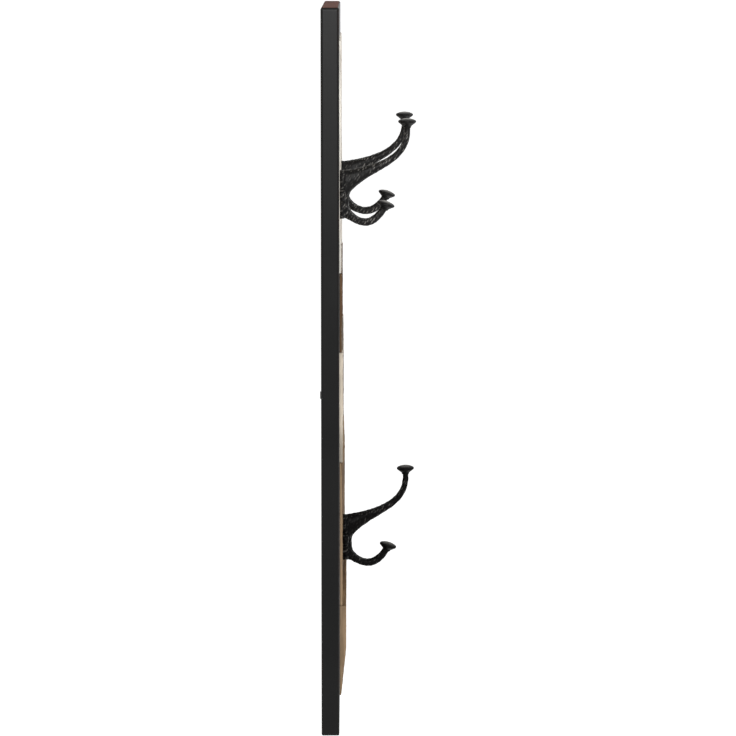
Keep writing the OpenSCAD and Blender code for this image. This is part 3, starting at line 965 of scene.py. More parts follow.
def in_box(node: str, x: float, z: float) -> bool:
    """Whether a place on the panel's front lies within a CAD node's box."""
    low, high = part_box(node)
    return low.x <= x <= high.x and low.z <= z <= high.z


@dataclass
class BoardField:
    """The field of old boards between the frame's members."""

    boards: list[Board] = field(default_factory=lambda: [
        Board("plank_1", BoardTone.PALE, 1.7, end_fade=(0.27, 0.34, 0.84)),
        Board("plank_2", BoardTone.PALE, 3.1, left_fall=(0.0023, -0.04, 0.15),
              full_foot=(0.158, 0.182), end_light=0.72),
        Board("plank_3_left", BoardTone.DARK, 4.9),
        Board("plank_3_right", BoardTone.DARK, 6.3),
        Board("plank_4_left", BoardTone.GREY, 8.8, end_fade=(-0.112, -0.03, 0.5)),
        Board("plank_4_right", BoardTone.GREY, 10.4, end_light=0.22),
        Board("plank_5", BoardTone.BROWN, 12.6, head_taper=(0.055, 0.0015),
              left_fall=(0.0023, 0.03, 0.15)),
        Board("plank_6", BoardTone.BROWN, 15.2, foot_bevel=(0.06, 0.006))])

    def build(self) -> None:
        """Makes every board and lets it ride on the panel."""
        for board in self.boards:
            piece = board.build()
            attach(piece, "panel")
            report(piece)

    def face_at(self, x: float, z: float) -> float:
        """Y of the worn face of the board at a place on the panel's front."""
        return next(board.face_at(x, z) for board in self.boards if board.covers(x, z))


# ------------------------------------------------------------------ hooks

@dataclass(frozen=True)
class ArmShape:
    """An arm's top edge, under edge and width, as (out from the board, up from the foot) in mm."""

    top: tuple[tuple[float, float], ...]
    under: tuple[tuple[float, float], ...]
    root_width: float
    neck_width: float
    width_power: float

    def section(self, t: float, sides: int) -> list[Point]:
        """Draws the softened rectangle of a section.

        Args:
            t: 0 at the root to 1 at the neck.
            sides: number of corners.
        Returns:
            The outline in mm.
        """
        top, under = self._along(self.top, t), self._along(self.under, t)
        middle, half = (top + under) / 2, (top - under) / 2
        width = self.neck_width + (self.root_width - self.neck_width) * (1 - t) ** self.width_power
        ring = []
        for k in range(sides):
            a = 2 * math.pi * k / sides
            cos, sin = self._soft(math.cos(a)), self._soft(math.sin(a))
            m = middle + half * sin
            ring.append((width / 2 * cos, -m[0], m[1]))
        return ring

    @staticmethod
    def _along(guides: tuple[tuple[float, float], ...], t: float) -> np.ndarray:
        """A point on the curve that four guide points draw."""
        a, b, c, d = (np.array(guide, float) for guide in guides)
        return a * (1 - t) ** 3 + 3 * b * t * (1 - t) ** 2 + 3 * c * t * t * (1 - t) + d * t ** 3

    @staticmethod
    def _soft(c: float) -> float:
        """A cosine or sine bent towards a rectangle's."""
        return math.copysign(abs(c) ** 0.8, c)


@dataclass(frozen=True)
class Knob:
    """A mushroom knob with a cone under it: its place from the casting's foot and its sizes, in mm."""

    out: float
    up: float
    neck: float
    lean: float = 0.0
    rim: float = 11.6
    crown: float = 4.2
    edge: float = 1.9
    cone: float = 5.8
    stub: float = 2.0

    def solid(self) -> Solid:
        """Turns the knob about +Z, its widest line at z = 0.

        Returns:
            Points and faces of the knob, in mm.
        """
        inner, under = self.rim - self.edge, -self.cone - self.stub
        ball = (inner ** 2 + self.crown ** 2 - self.edge ** 2) / (2 * (self.crown - self.edge))
        meet = math.asin(inner / (ball - self.edge))
        profile = [(0.0, under), (self.neck, under), (self.neck + 0.4, -self.cone)]
        profile += [(inner + self.edge * math.cos(a), self.edge * math.sin(a))
                    for a in np.linspace(-0.85, math.pi / 2 - meet, 10)]
        profile += [(ball * math.sin(a), self.crown - ball + ball * math.cos(a))
                    for a in np.linspace(meet, 0, 14)[1:-1]]
        profile.append((0.0, self.crown))
        return lathe(profile, 48)

    def stand(self) -> Matrix:
        """The knob's place and lean on the casting."""
        return Matrix.Translation((0, -self.out, self.up)) @ Matrix.Rotation(math.radians(self.lean), 4, "X")


@dataclass
class CastHook:
    """A cast double hook: eared base, spine, two arms and two mushroom knobs, drawn in mm.

    It is turned nose up by the tilt in degrees, hangs lower by the drop, is bedded so deep in its
    worn board, and its lower arm is drawn out by the reach over a stretch off the board (arm_from to
    arm_to, below arm_top). The spine goes from its top to its foot and flares off its waist.
    """

    node: str
    scale: float
    seed: float
    # how strong the casting's rubbed marks and painted highlights are
    rubbed: float = 1.0
    tilt: float = 0.0
    drop: float = 0.0
    reach: float = 0.0
    bedded: float = 0.9
    bed_line: float = 0.4
    crown_top: float = 128.4
    upper_knob: Knob = Knob(83.6, 124.2, 4.9)
    lower_knob: Knob = Knob(58.3, 18.8, 4.8, 17.0)
    web: tuple[float, float] = (13.0, 47.0)
    arm_from: float = 15.0
    arm_to: float = 50.0
    arm_top: float = 33.0
    base_h: float = 62.4
    base_t: float = 4.5
    base_r: float = 12.5
    ear_r: float = 7.5
    ear_spacing: float = 33.0
    voxel: float = 0.55
    spine: tuple[float, float] = (40.5, 9.3)
    spine_r: float = 9.3
    waist: tuple[float, float] = (20.0, 26.0)
    flare: float = 11.0
    fillet_r: float = 18.0
    upper: ArmShape = ArmShape(((0.5, 61.8), (40.1, 66.8), (83.6, 78.9), (79.8, 117.7)),
                               ((0.5, 15), (17, 66.5), (90.9, 58), (87.4, 118.3)), 23, 8.6, 1.4)
    lower: ArmShape = ArmShape(((0.5, 31), (16.1, -7.5), (39.7, -7.9), (53.8, 19.3)),
                               ((0.5, 2), (12.2, 1.2), (36.3, -29.4), (61.8, 14.7)), 19, 9.3, 1)

    def seat(self) -> Vector:
        """The casting's foot on its board, found from the CAD casting's box."""
        low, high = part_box(self.node)
        return Vector(((low.x + high.x) / 2, high.y, high.z - (self.crown_top * self.scale + self.drop) * MM))

    def holds(self, x: float, z: float) -> bool:
        """Whether a screw at a place goes through this casting's ears."""
        return in_box(self.node, x, z)

    def build(self, skin: "HammeredSkin", material: bpy.types.Material) -> bpy.types.Object:
        """Makes the casting as one skin with soft fillets and hammered dimples.

        Args:
            skin: the surface tree that hammers the casting.
            material: the black iron.
        Returns:
            The casting's object, riding on the panel.
        """
        raw = mesh_object(self.node + "_raw", *self._parts())
        remesh = raw.modifiers.new("one skin", "REMESH")
        remesh.mode = "VOXEL"
        remesh.voxel_size = self.voxel * MM
        soften = raw.modifiers.new("cast fillets", "SMOOTH")
        soften.factor = 0.5
        soften.iterations = 4
        piece = skin.apply(evaluated(raw, self.node + "_skin"), self.node.replace("hook", "casting"), {
            "Knob A": self._spot(self.upper_knob.out, self.upper_knob.up),
            "Knob B": self._spot(self.lower_knob.out, self.lower_knob.up), "Web": self._spot(*self.web),
            "Seed": self.seed, "Rubbed": self.rubbed, "Material": material})
        self._fit(piece)
        middle = Matrix.Translation((0.0, 0.0, self.base_h / 2 * MM))
        nose_up = middle @ Matrix.Rotation(math.radians(-self.tilt), 4, "X") @ middle.inverted()
        piece.data.transform(Matrix.Translation(self.seat()) @ Matrix.Scale(self.scale, 4) @ nose_up)
        piece.data.shade_smooth()
        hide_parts(self.node)
        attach(piece, "panel")
        return piece

    def _parts(self) -> Solid:
        """Makes the solids that the casting is blended from.

        Returns:
            Points and faces of all of them, in metres from the casting's foot.
        """
        points: list[Point] = []
        faces: list[list[int]] = []
        stations, sides = 64, 40

        def join(more: Solid, place: Matrix = Matrix.Identity(4)) -> None:
            """Adds a closed solid given in mm."""
            start = len(points)
            points.extend(tuple((place @ Vector(p)) * MM) for p in more[0])
            faces.extend([start + i for i in f] for f in more[1])

        for arm in (self.upper, self.lower):
            join(self._loft([arm.section(s / stations, sides) for s in range(stations + 1)]))
        join(self._bar(self.base_r, self.base_h - 2 * self.base_r, True))
        join(self._bar(self.ear_r, self.ear_spacing, False))
        join(self._loft([self._spine_ring(float(z)) for z in np.linspace(*self.spine, 33)]))
        for knob in (self.upper_knob, self.lower_knob):
            join(knob.solid(), knob.stand())
        return points, faces

    def _spine_ring(self, z: float) -> list[Point]:
        """Draws the spine's outline, flared in wide fillets into the arms above and below.

        Args:
            z: height above the casting's foot, in mm.
        Returns:
            The outline in mm.
        """
        foot, top = self.waist
        off = min(max(z - top, foot - z, 0.0), self.flare)
        depth = self.spine_r + self.fillet_r - math.sqrt(self.fillet_r ** 2 - off ** 2)
        return [(self.spine_r * math.cos(a), -depth * math.sin(a), z) for a in np.linspace(0, math.pi, 25)]

    @staticmethod
    def _spot(out: float, up: float) -> Point:
        """A place in metres from the casting's foot, from mm out from the board and up."""
        return (0.0, -out * MM, up * MM)

    def _bar(self, r: float, length: float, upright: bool) -> Solid:
        """A bar of the base with round ends and sloping sides, lying on the board.

        Args:
            r: radius of its ends, half its width.
            length: distance between the middles of its ends.
            upright: whether it runs up the board, and not across it.
        Returns:
            Points and faces of the bar.
        """
        rings = []
        for inwards, share in ((0.0, 0.0), (0.2, 0.6), (1.0, 1.0)):
            radius, depth = r - inwards, self.base_t * share
            outline = []
            for end in (1, -1):
                for a in np.linspace(-math.pi / 2, math.pi / 2, 21):
                    u, v = radius * math.sin(a) * end, end * (length / 2 + radius * math.cos(a))
                    x, z = (u, v) if upright else (v, -u)
                    outline.append((x, -depth, z + self.base_h / 2))
            rings.append(outline)
        return self._loft(rings[::-1] if self._turns_right(rings[0]) else rings)

    @staticmethod
    def _turns_right(ring: list[Point]) -> bool:
        """Whether a ring runs clockwise seen from the front."""
        area = sum(a[0] * b[2] - b[0] * a[2] for a, b in zip(ring, ring[1:] + ring[:1]))
        return area < 0

    @staticmethod
    def _loft(rings: list[list[Point]]) -> Solid:
        """Skins rings of equal length and closes both ends.

        Args:
            rings: outlines that turn left seen from the last one.
        Returns:
            Points and faces of the closed solid.
        """
        n = len(rings[0])
        points = [p for ring in rings for p in ring]
        faces = [[s * n + k, s * n + (k + 1) % n, (s + 1) * n + (k + 1) % n, (s + 1) * n + k]
                 for s in range(len(rings) - 1) for k in range(n)]
        faces.append(list(range(n))[::-1])
        faces.append([(len(rings) - 1) * n + k for k in range(n)])
        return points, faces

    def _fit(self, piece: bpy.types.Object) -> None:
        """Beds the base in the worn face of its board, and draws the lower arm out by its reach.

        Args:
            piece: the hammered casting, at the origin and in metres.
        """
        co = np.zeros(len(piece.data.vertices) * 3, np.float32)
        piece.data.vertices.foreach_get("co", co)
        co = co.reshape(-1, 3)
        co[:, 1] = np.where(co[:, 1] > -self.bed_line * MM, self.bedded * MM, co[:, 1])
        along = np.clip((-co[:, 1] / MM - self.arm_from) / (self.arm_to - self.arm_from), 0, 1)
        along *= co[:, 2] < self.arm_top * MM
        co[:, 1] -= self.reach * MM * along ** 2 * (3 - 2 * along)
        piece.data.vertices.foreach_set("co", co.ravel())
        piece.data.update()


class HammeredSkin(GeometryTree):
    """Geometry tree that hammers a casting, and says in an attribute where it is rubbed and where a highlight
    is painted.
    """

    def __init__(self) -> None:
        """Builds the tree with its named inputs."""
        super().__init__("Hammered skin", {
            "Dimple Scale": ("Float", 350.0), "Depth": ("Float", 0.0007), "Length": ("Float", 0.5),
            "Rubbed": ("Float", 1.0), "Knob A": ("Vector", None), "Knob B": ("Vector", None),
            "Web": ("Vector", None), "Seed": ("Float", 0.0)})
        place = self.add("GeometryNodeInputPosition").outputs[0]
        normal = self.add("GeometryNodeInputNormal").outputs[0]
        where = self._in_pattern(place)
        from_knob = self.math("MINIMUM", self.distance(place, self.inputs["Knob A"]),
                              self.distance(place, self.inputs["Knob B"]))
        # the knobs are ground nearly smooth
        hammered = self.plus(0.12, self.times(self.ramp(from_knob, 0.0112, 0.0165), 0.88))
        inward = self.add("ShaderNodeVectorMath", {0: normal, "Scale": self._press(where, hammered)},
                          operation="SCALE")
        moved = self.add("GeometryNodeSetPosition", {"Geometry": self.inputs["Geometry"],
                                                     "Offset": inward.outputs[0]})
        # light strokes, partly rubbed metal and partly painted highlight
        strokes = self.times(self._strokes(where), self.times(self.inputs["Rubbed"], hammered))
        # painted shade: the light strokes are dimmed in the crook between the arms
        off_crook = self.ramp(self.distance(place, self.inputs["Web"]), 0.011, 0.026)
        strokes = self.times(strokes, self.plus(0.3, self.times(off_crook, 0.7)))
        # painted highlight on the upward-facing middle of each knob's crown
        upward = self.ramp(self.split(normal)[2], 0.2, 0.6)
        crown = self.times(self.rest(self.ramp(from_knob, 0.0055, 0.0105)), upward)
        crown = self.times(self.times(crown, 0.75), self.inputs["Rubbed"])
        kept = self.add("GeometryNodeStoreNamedAttribute", {
            "Geometry": moved.outputs[0], "Name": "ridge", "Value": self.math("MAXIMUM", strokes, crown)},
            data_type="FLOAT", domain="POINT")
        self.dress(kept.outputs[0])

    def _in_pattern(self, place: Socket) -> Socket:
        """Turns the pattern of the dimples and draws it out along the arms.

        Args:
            place: the place on the casting.
        Returns:
            The place in the dimples' pattern.
        """
        turned = self.add("ShaderNodeVectorRotate", {"Vector": place, "Angle": math.radians(62)},
                          rotation_type="X_AXIS").outputs[0]
        stretch = self.joined(1.0, self.inputs["Length"], 1.0)
        seed = self.joined(self.inputs["Seed"], 0.0, self.inputs["Seed"])
        return self.vector("ADD", self.stretched(turned, stretch), seed)

    def _press(self, where: Socket, hammered: Socket) -> Socket:
        """Presses shallow dimples with a fine cast grain.

        Args:
            where: the place in the dimples' pattern.
            hammered: how much of them is left by grinding.
        Returns:
            How far the skin moves along its normal, in metres.
        """
        cells = self.add("ShaderNodeTexVoronoi", {"Vector": where, "Scale": self.inputs["Dimple Scale"],
                                                  "Smoothness": 0.25}, feature="SMOOTH_F1")
        dimple = self.rest(self.math("POWER", cells.outputs["Distance"], 1.6), clamp=True)
        grainy = self.plus(dimple, self.times(self.noise(where, 900.0, 3.0), 0.25))
        depth = self.times(self.inputs["Depth"], hammered)
        return self.times(self.times(self.minus(grainy, 0.95), depth), -1.0)

    def _strokes(self, where: Socket) -> Socket:
        """Paints a short light stroke along the long side of each dimple's lower wall, the wall that faces
        the light: partly a rub, partly a painted highlight.

        Args:
            where: the place in the dimples' pattern.
        Returns:
            How bright the skin is rubbed and lit by painted highlight, 0 to 1.
        """
        near = self.add("ShaderNodeTexVoronoi", {"Vector": where, "Scale": self.inputs["Dimple Scale"]})
        aside = self.split(self.vector("SUBTRACT", where, near.outputs["Position"]))[2]
        low = self.times(self.times(aside, -1.0), self.inputs["Dimple Scale"])
        within = self.rest(self.ramp(near.outputs["Distance"], 0.25, 0.65))
        stroke = self.times(self.ramp(low, -0.02, 0.3), within)
        chance = self.split(near.outputs["Color"])[0]
        return self.times(stroke, self.ramp(chance, 0.0, 0.8))


# ------------------------------------------------------------------ fasteners

class HeadStyle(Enum):
    """The kinds of head that a fastener has."""

    NAIL = "nail"
    SLOTTED = "slotted"
    CROSS = "cross"


@dataclass
class Fasteners:
    """One kind of nail or screw: its head, and every place that it is driven in.

    Outward is -1 where the head looks to the front and 1 to the back. A flush head lies at the CAD
    fastener's outer end, the others stand within its length.
    """

    node: str
    name: str
    style: HeadStyle
    head_r: float
    head_h: float
    outward: float
    slot_name: str
    seed: int
    flush: bool = False
    places: list[Point] = field(default_factory=list)

    def build(self, scatter: "ScatterTree", material: bpy.types.Material) -> bpy.types.Object:
        """Sets the heads on their places as one mesh.

        Args:
            scatter: the tree that puts a head on every point.
            material: the fastener's metal.
        Returns:
            The fasteners' object, riding on the panel.
        """
        head = mesh_object(self.name + "_head", *self._head())
        crease(head, 40)
        spots = mesh_object(self.name + "_spots", self.places, [])
        piece = scatter.apply(spots, self.name, {"Head": head, "Outward": self.outward, "Seed": self.seed,
                                                 "Material": material})
        crease(piece, 40)
        bpy.data.objects.remove(head)
        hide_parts(self.node)
        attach(piece, "panel")
        return piece

    def _dome(self, share: float) -> float:
        """Height of the head's dome, with a share of 0 at its brim and 1 in its middle."""
        return self.head_h * (0.45 + 0.55 * share)

    def _head(self) -> Solid:
        """Makes the head and a stub of its shank, its seat at z = 0 and its top up.

        Returns:
            Points and faces of the head.
        """
        r, h = self.head_r, self.head_h
        profile = [(0.0, -h * 1.4), (r * 0.42, -h * 1.4), (r * 0.5, -h * 0.2), (r * 0.97, 0.0)]
        profile += [(r * math.cos(a), self._dome(math.sin(a))) for a in np.linspace(0, math.pi / 2, 7)[:-1]]
        if self.style is not HeadStyle.NAIL:
            return self._recessed(profile)
        points, faces = lathe(profile + [(0.0, h)], 20)
        # hammered heads aren't quite round
        dented = [(x * (1 + 0.06 * math.sin(3 * math.atan2(y, x) + self.seed)),
                   y * (1 + 0.05 * math.cos(2 * math.atan2(y, x))), z) for x, y, z in points]
        return dented, faces

    def _recessed(self, profile: list[tuple[float, float]]) -> Solid:
        """A turned head with a slot or a cross pressed into it, as a fine polar grid.

        Args:
            profile: radius and height of the head's outline, up to its dome.
        Returns:
            Points and faces of the head.
        """
        r, h, sides = self.head_r, self.head_h, 48
        shares = (0.9, 0.78, 0.66, 0.56, 0.46, 0.36, 0.28, 0.2, 0.12)
        inner = [(r * f, self._dome(math.sqrt(max(0.0, 1 - f * f)))) for f in shares]
        outer = [p for p in profile if p[0] >= 0.93 * r or p[1] <= 0.0]
        points, faces = lathe(outer + inner + [(0.0, h)], sides)
        cross = self.style is HeadStyle.CROSS
        half, reach, sink = 0.13 * r, (0.6 if cross else 0.97) * r, 0.5 * h
        sunk = []
        for x, y, z in points:
            in_slot = abs(y) < half and abs(x) < reach
            in_second = cross and abs(x) < half and abs(y) < reach
            pressed = z > 0.3 * h and (in_slot or in_second)
            sunk.append((x, y, z - sink if pressed else z))
        return sunk, faces


class ScatterTree(GeometryTree):
    """Geometry tree that stands one copy of a head on every point, each turned by chance."""

    def __init__(self) -> None:
        """Builds the tree with its named inputs."""
        super().__init__("Driven fasteners", {"Head": ("Object", None), "Outward": ("Float", -1.0),
                                              "Turn": ("Float", math.pi), "Seed": ("Int", 1)})
        head = self.add("GeometryNodeObjectInfo", {"Object": self.inputs["Head"], "As Instance": True})
        stand = self.joined(self.times(self.inputs["Outward"], -math.pi / 2))
        put = self.add("GeometryNodeInstanceOnPoints", {
            "Points": self.inputs["Geometry"], "Instance": head.outputs["Geometry"], "Rotation": stand})
        chance = self.add("FunctionNodeRandomValue", {"Seed": self.inputs["Seed"]}, data_type="FLOAT")
        turn = self.joined(z=self.times(chance.outputs[1], self.inputs["Turn"]))
        spun = self.add("GeometryNodeRotateInstances", {"Instances": put.outputs[0], "Rotation": turn,
                                                        "Local Space": True})
        self.dress(spun.outputs[0])


def node_centres(node: str, outward: float) -> list[Point]:
    """The middle of every separate solid of a CAD node, at its outer end.

    Args:
        node: the CAD node's name.
        outward: -1 for the front end of each solid, 1 for its back end.
    Returns:
        One point for each solid.
    """
    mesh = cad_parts[node].data
    co = np.array([v.co for v in mesh.vertices], float)
    keys: dict[tuple, int] = {}
    same = np.array([keys.setdefault(tuple(np.round(p, 6)), len(keys)) for p in co])
    parent = list(range(len(keys)))

    def find(a: int) -> int:
        """Follows a corner to the one that stands for its solid.

        Args:
            a: number of a corner.
        Returns:
            Number of the corner that stands for the solid.
        """
        while parent[a] != a:
            parent[a] = parent[parent[a]]
            a = parent[a]
        return a

    for edge in mesh.edges:
        a, b = find(int(same[edge.vertices[0]])), find(int(same[edge.vertices[1]]))
        parent[a] = b
    groups: dict[int, list[int]] = {}
    for index, key in enumerate(same):
        groups.setdefault(find(int(key)), []).append(index)
    places = []
    for members in groups.values():
        low, high = co[members].min(0), co[members].max(0)
        y = low[1] if outward < 0 else high[1]
        places.append((float(low[0] + high[0]) / 2, float(y), float(low[2] + high[2]) / 2))
    return sorted(places)


def build_fasteners(boards: BoardField, hooks: Sequence[CastHook], black: bpy.types.Material,
                    zinc: bpy.types.Material) -> None:
    """Makes every kind of nail and screw that shows.

    Args:
        boards: the worn boards that the nails are seated on.
        hooks: the castings, whose screws hang as low as they do.
        black: the metal of the fasteners in front.
        zinc: the metal of the screws in the back.
    """
    nail, slotted, cross = HeadStyle.NAIL, HeadStyle.SLOTTED, HeadStyle.CROSS
    scatter = ScatterTree()
    for kind in (
            Fasteners("plank_nails", "board_nails", nail, 0.002, 0.0007, -1.0, "black_fasteners", 3),
            Fasteners("hook_screws", "casting_screws", slotted, 0.004, 0.0009, -1.0, "black_fasteners", 8,
                      flush=True),
            Fasteners("backer_screws", "panel_screws", cross, 0.0028, 0.0016, 1.0, "zinc", 5),
            Fasteners("hanger_screws", "strap_screws", cross, 0.0028, 0.0016, 1.0, "zinc", 11),
            Fasteners("batten_screws", "crossbar_screws", cross, 0.0028, 0.0006, 1.0, "zinc", 17,
                      flush=True)):
        seat = 0.0 if kind.flush else kind.head_h
        kind.places = [(x, y - kind.outward * seat, z) for x, y, z in node_centres(kind.node, kind.outward)]
        if kind.style is nail:
            kind.places = [(x, boards.face_at(x, z) + NAIL_SEAT, z) for x, _, z in kind.places]
        if kind.style is slotted:
            kind.places = [(x, y, z - sum(hook.drop for hook in hooks if hook.holds(x, z)) * MM)
                           for x, y, z in kind.places]
        piece = kind.build(scatter, black if kind.outward < 0 else zinc)
        log.info("%s: %d of them", piece.name, len(kind.places))


# ------------------------------------------------------------------ rings

@dataclass
class HangingRing:
    """A bent wire D-ring, swept along its closed path."""

    node: str
    body: str
    side: float
    wire_r: float = 0.00125
    half: float = 0.009
    reach: float = 0.016
    elbow: float = 0.0025
    lean: float = 4.0
    pivot: Point = (0.15, -0.0052, 0.3)

    def build(self, sweep: "WireTree", material: bpy.types.Material) -> bpy.types.Object:
        """Sweeps the wire along the ring's path.

        Args:
            sweep: the tree that draws a wire along a path.
            material: the ring's metal.
        Returns:
            The ring's object, riding on its own body.
        """
        path = mesh_object(self.node + "_path", self._path(), [])
        count = len(path.data.vertices)
        path.data.edges.add(count)
        path.data.edges.foreach_set("vertices", [v for k in range(count) for v in (k, (k + 1) % count)])
        piece = sweep.apply(path, self.node + "_wire", {"Radius": self.wire_r, "Material": material})
        turn = Matrix.Rotation(math.radians(self.lean), 4, "X")
        place = Matrix.Translation((self.side * self.pivot[0], self.pivot[1], self.pivot[2]))
        piece.data.transform(place @ turn)
        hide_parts(self.node)
        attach(piece, self.body)
        return piece

    def _path(self) -> list[Point]:
        """Draws the ring's closed centre line about its pivot.

        Returns:
            Points along the centre line, in metres.
        """
        def bend(x: float, z: float, radius: float, angles: Sequence[float]) -> list[Point]:
            """An arc about a middle."""
            return [(x + radius * math.cos(a), 0.0, z + radius * math.sin(a)) for a in angles]

        leg = self.half - self.elbow
        points = [(float(x), 0.0, 0.0) for x in np.linspace(-leg, leg, 9)]
        points += bend(leg, self.elbow, self.elbow, np.linspace(-math.pi / 2, 0, 9)[1:])
        points += bend(0.0, self.reach - self.half, self.half, np.linspace(0, math.pi, 33))
        points += bend(-leg, self.elbow, self.elbow, np.linspace(math.pi, 1.5 * math.pi, 9)[:-1])
        return points


class WireTree(GeometryTree):
    """Geometry tree that sweeps a round wire along a path of edges."""

    def __init__(self) -> None:
        """Builds the tree with its named inputs."""
        super().__init__("Bent wire", {"Radius": ("Float", 0.00125), "Sides": ("Int", 20)})
        path = self.add("GeometryNodeMeshToCurve", {"Mesh": self.inputs["Geometry"]})
        ring = self.add("GeometryNodeCurvePrimitiveCircle", {"Resolution": self.inputs["Sides"],
                                                             "Radius": self.inputs["Radius"]})
        wire = self.add("GeometryNodeCurveToMesh", {"Curve": path.outputs[0],
                                                    "Profile Curve": ring.outputs[0]})
        smooth = self.add("GeometryNodeSetShadeSmooth", {"Geometry": wire.outputs[0]})
        self.dress(smooth.outputs[0])


# ------------------------------------------------------------------ carried-over nodes

@dataclass
class CarriedNodes:
    """CAD nodes whose shape is right and which only need their finish."""

    half_size: Point = (0.2285, FRAME_DEPTH / 2, 0.457)
    bead_half: Point = (0.1535, 0.0038, 0.1535)
    bead_centre: Point = (0.0, -0.0204, 0.0)

    def dress(self) -> None:
        """Gives every shown CAD node its material."""
        centre = (0.0, -self.half_size[1], 0.0)
        frame_paint = PaintFinish("frame_black", self.half_size, centre, 0.0015, True).build()
        bead_paint = PaintFinish("bead_black", self.bead_half, self.bead_centre, 0.0007, False).build()
        backer = SheetFinish("backer", rgb(118, 86, 58), rgb(150, 114, 80), 0.35, 90.0, 2.2).build()
        batten = SheetFinish("batten", rgb(150, 116, 78), rgb(200, 166, 122), 0.04, 50.0, 5.5).build()
        for nodes, material in (
                (("stile_left", "stile_right", "rail_top", "rail_bottom"), frame_paint),
                (("bead_top", "bead_bottom", "bead_left", "bead_right"), bead_paint),
                (("backer_board", "corner_splines"), backer), (("back_batten",), batten),
                (("mirror_glass",), MirrorFinish().build()), (("wall_pads",), FeltFinish().build()),
                (("hanger_strap_left", "hanger_strap_right"), zinc_plate())):
            for node in nodes:
                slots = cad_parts[node].data.materials
                slots.clear()
                slots.append(material)
                log.info("%s: dressed in %s", node, material.name)


def zinc_plate() -> bpy.types.Material:
    """Zinc plating of the hanger straps."""
    return MetalFinish("zinc", rgb(168, 170, 172), rgb(196, 196, 194), 1.0, 0.38, 0.25, 140.0, 1500.0,
                       0.00006).build()


def black_steel() -> bpy.types.Material:
    """Blackened steel of the nails and of the screws in the castings."""
    return MetalFinish("black_fasteners", rgb(34, 32, 30), rgb(58, 48, 40), 0.4, 0.5, 0.3, 400.0, 2200.0,
                       0.00008).build()


# ------------------------------------------------------------------ stage

@dataclass(frozen=True)
class Lamp:
    """A square soft lamp: its place, the side of its square, and its power in watts."""

    name: str
    place: Point
    size: float
    power: float

    def build(self) -> None:
        """Hangs the lamp so that it looks at the mirror's middle."""
        light = bpy.data.lights.new(self.name, "AREA")
        light.size = self.size
        light.energy = self.power
        lamp = bpy.data.objects.new(self.name, light)
        bpy.context.scene.collection.objects.link(lamp)
        lamp.location = self.place
        lamp.rotation_euler = (-Vector(self.place)).to_track_quat("-Z", "Y").to_euler()


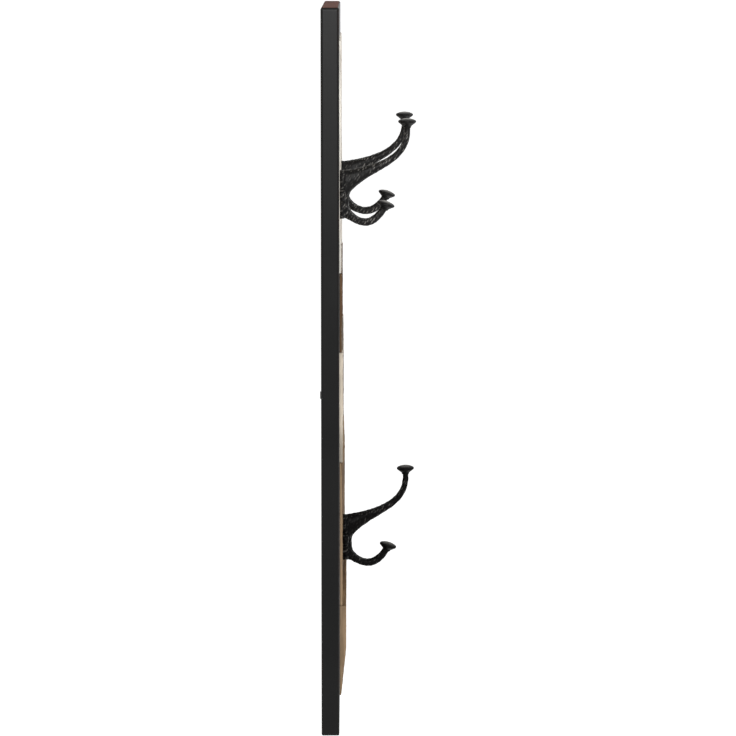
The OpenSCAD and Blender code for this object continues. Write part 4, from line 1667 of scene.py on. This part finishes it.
@dataclass
class Studio:
    """Pale floor, soft light and the camera at the photograph's angle, with its turns in degrees."""

    camera_place: Point = (-3.49115, -0.03611, 0.52088)
    pitch: float = 8.822
    yaw: float = 0.389
    roll: float = 0.066
    lens: float = 130.45
    ambient: float = 0.4
    floor_z: float = -1.15
    floor_half: float = 150.0
    floor_glow: float = 0.7
    lamps: tuple[Lamp, ...] = (Lamp("side", (-2.4, -0.25, 0.95), 0.8, 46.0),
                               Lamp("front", (0.9, -2.4, 2.0), 1.6, 34.0),
                               Lamp("back", (1.2, 2.4, 1.6), 2.2, 20.0))

    def build(self) -> None:
        """Sets up the world, the floor, the lamps and the camera."""
        bpy.context.scene.view_settings.view_transform = "Standard"
        self._world()
        self._floor()
        for lamp in self.lamps:
            lamp.build()
        self._camera()

    def _world(self) -> None:
        """A white surround for the camera and for gloss, and a dimmer one for plain light."""
        world = bpy.data.worlds.new("studio")
        bpy.context.scene.world = world
        world.use_nodes = True
        n = Nodes(world.node_tree)
        rays = n.add("ShaderNodeLightPath").outputs
        direct = n.math("MAXIMUM", rays["Is Camera Ray"],
                        n.math("MAXIMUM", rays["Is Glossy Ray"], rays["Is Transmission Ray"]))
        strength = n.plus(self.ambient, n.times(direct, 1.0 - self.ambient))
        n.plug(world.node_tree.nodes["Background"], {"Color": (1, 1, 1, 1), "Strength": strength})

    def _floor(self) -> None:
        """A wide pale floor, lifted to white for the camera where nothing shades it."""
        half = self.floor_half
        corners = [(x * half, y * half, self.floor_z) for x, y in ((-1, -1), (1, -1), (1, 1), (-1, 1))]
        floor = mesh_object("floor", corners, [[0, 1, 2, 3]])
        s = Shader("pale_floor")
        tone = s.mix(s.noise(s.place, 2.0, 3.0), rgb(236, 236, 235), rgb(240, 240, 240))
        rays = s.add("ShaderNodeLightPath").outputs
        direct = s.math("MAXIMUM", rays["Is Camera Ray"], rays["Is Glossy Ray"])
        floor.data.materials.append(s.finished(Base_Color=tone, Roughness=0.9, Emission_Color=(1, 1, 1, 1),
                                               Emission_Strength=s.times(direct, self.floor_glow)))
        # from below, the floor is clear
        under = s.add("ShaderNodeNewGeometry").outputs["Backfacing"]
        clear = s.add("ShaderNodeBsdfTransparent").outputs[0]
        sided = s.add("ShaderNodeMixShader", {0: under, 1: s.surface.outputs[0], 2: clear})
        s.plug(s.tree.nodes["Material Output"], {"Surface": sided.outputs[0]})

    def _camera(self) -> None:
        """The camera at the photograph's place, looking along +X and a little down."""
        data = bpy.data.cameras.new("camera")
        data.lens = self.lens
        data.sensor_width = 36.0
        data.clip_end = 500.0
        camera = bpy.data.objects.new("camera", data)
        bpy.context.scene.collection.objects.link(camera)
        turn = (Matrix.Rotation(math.radians(-90 - self.yaw), 4, "Z")
                @ Matrix.Rotation(math.radians(90 - self.pitch), 4, "X")
                @ Matrix.Rotation(math.radians(self.roll), 4, "Z"))
        camera.matrix_world = Matrix.Translation(self.camera_place) @ turn
        bpy.context.scene.camera = camera


# ------------------------------------------------------------------ main

def build_hooks() -> tuple[CastHook, ...]:
    """Makes the three castings; the lower one gets painted shade: a darker, duller copy of the iron and fewer
    light strokes.

    Returns:
        The castings, for the screws that hold them.
    """
    hooks = (CastHook("hook_upper_left", 1.0, 1.3, reach=-1.7, bedded=3.4),
             CastHook("hook_upper_right", 1.0, 4.2, drop=1.5, reach=1.9, bedded=1.6),
             CastHook("hook_lower", 0.99, 7.7, rubbed=0.4, tilt=1.2, bedded=3.4))
    iron, skin = IronFinish().build(), HammeredSkin()
    # painted shade: a darker, duller copy of the same iron for the lower casting
    shaded_iron = IronFinish("cast_iron_shaded", rgb(4, 4, 4), rgb(10, 9, 9), specular=0.04).build()
    for hook, metal in zip(hooks, (iron, iron, shaded_iron)):
        report(hook.build(skin, metal))
    return hooks


def main() -> None:
    """Builds the mirror's looks in order and reports each piece."""
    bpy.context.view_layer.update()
    Studio().build()
    zinc = bpy.data.materials["zinc"]                 # the CAD model's own, for rings and back screws
    CarriedNodes().dress()
    boards = BoardField()
    boards.build()
    hooks = build_hooks()
    wire = WireTree()
    for ring in (HangingRing("ring_left", "left_ring", -1.0), HangingRing("ring_right", "right_ring", 1.0)):
        report(ring.build(wire, zinc))
    build_fasteners(boards, hooks, black_steel(), zinc)


if __name__ == "__main__":
    logging.basicConfig(level=logging.INFO, format="%(name)s: %(message)s")
    main()
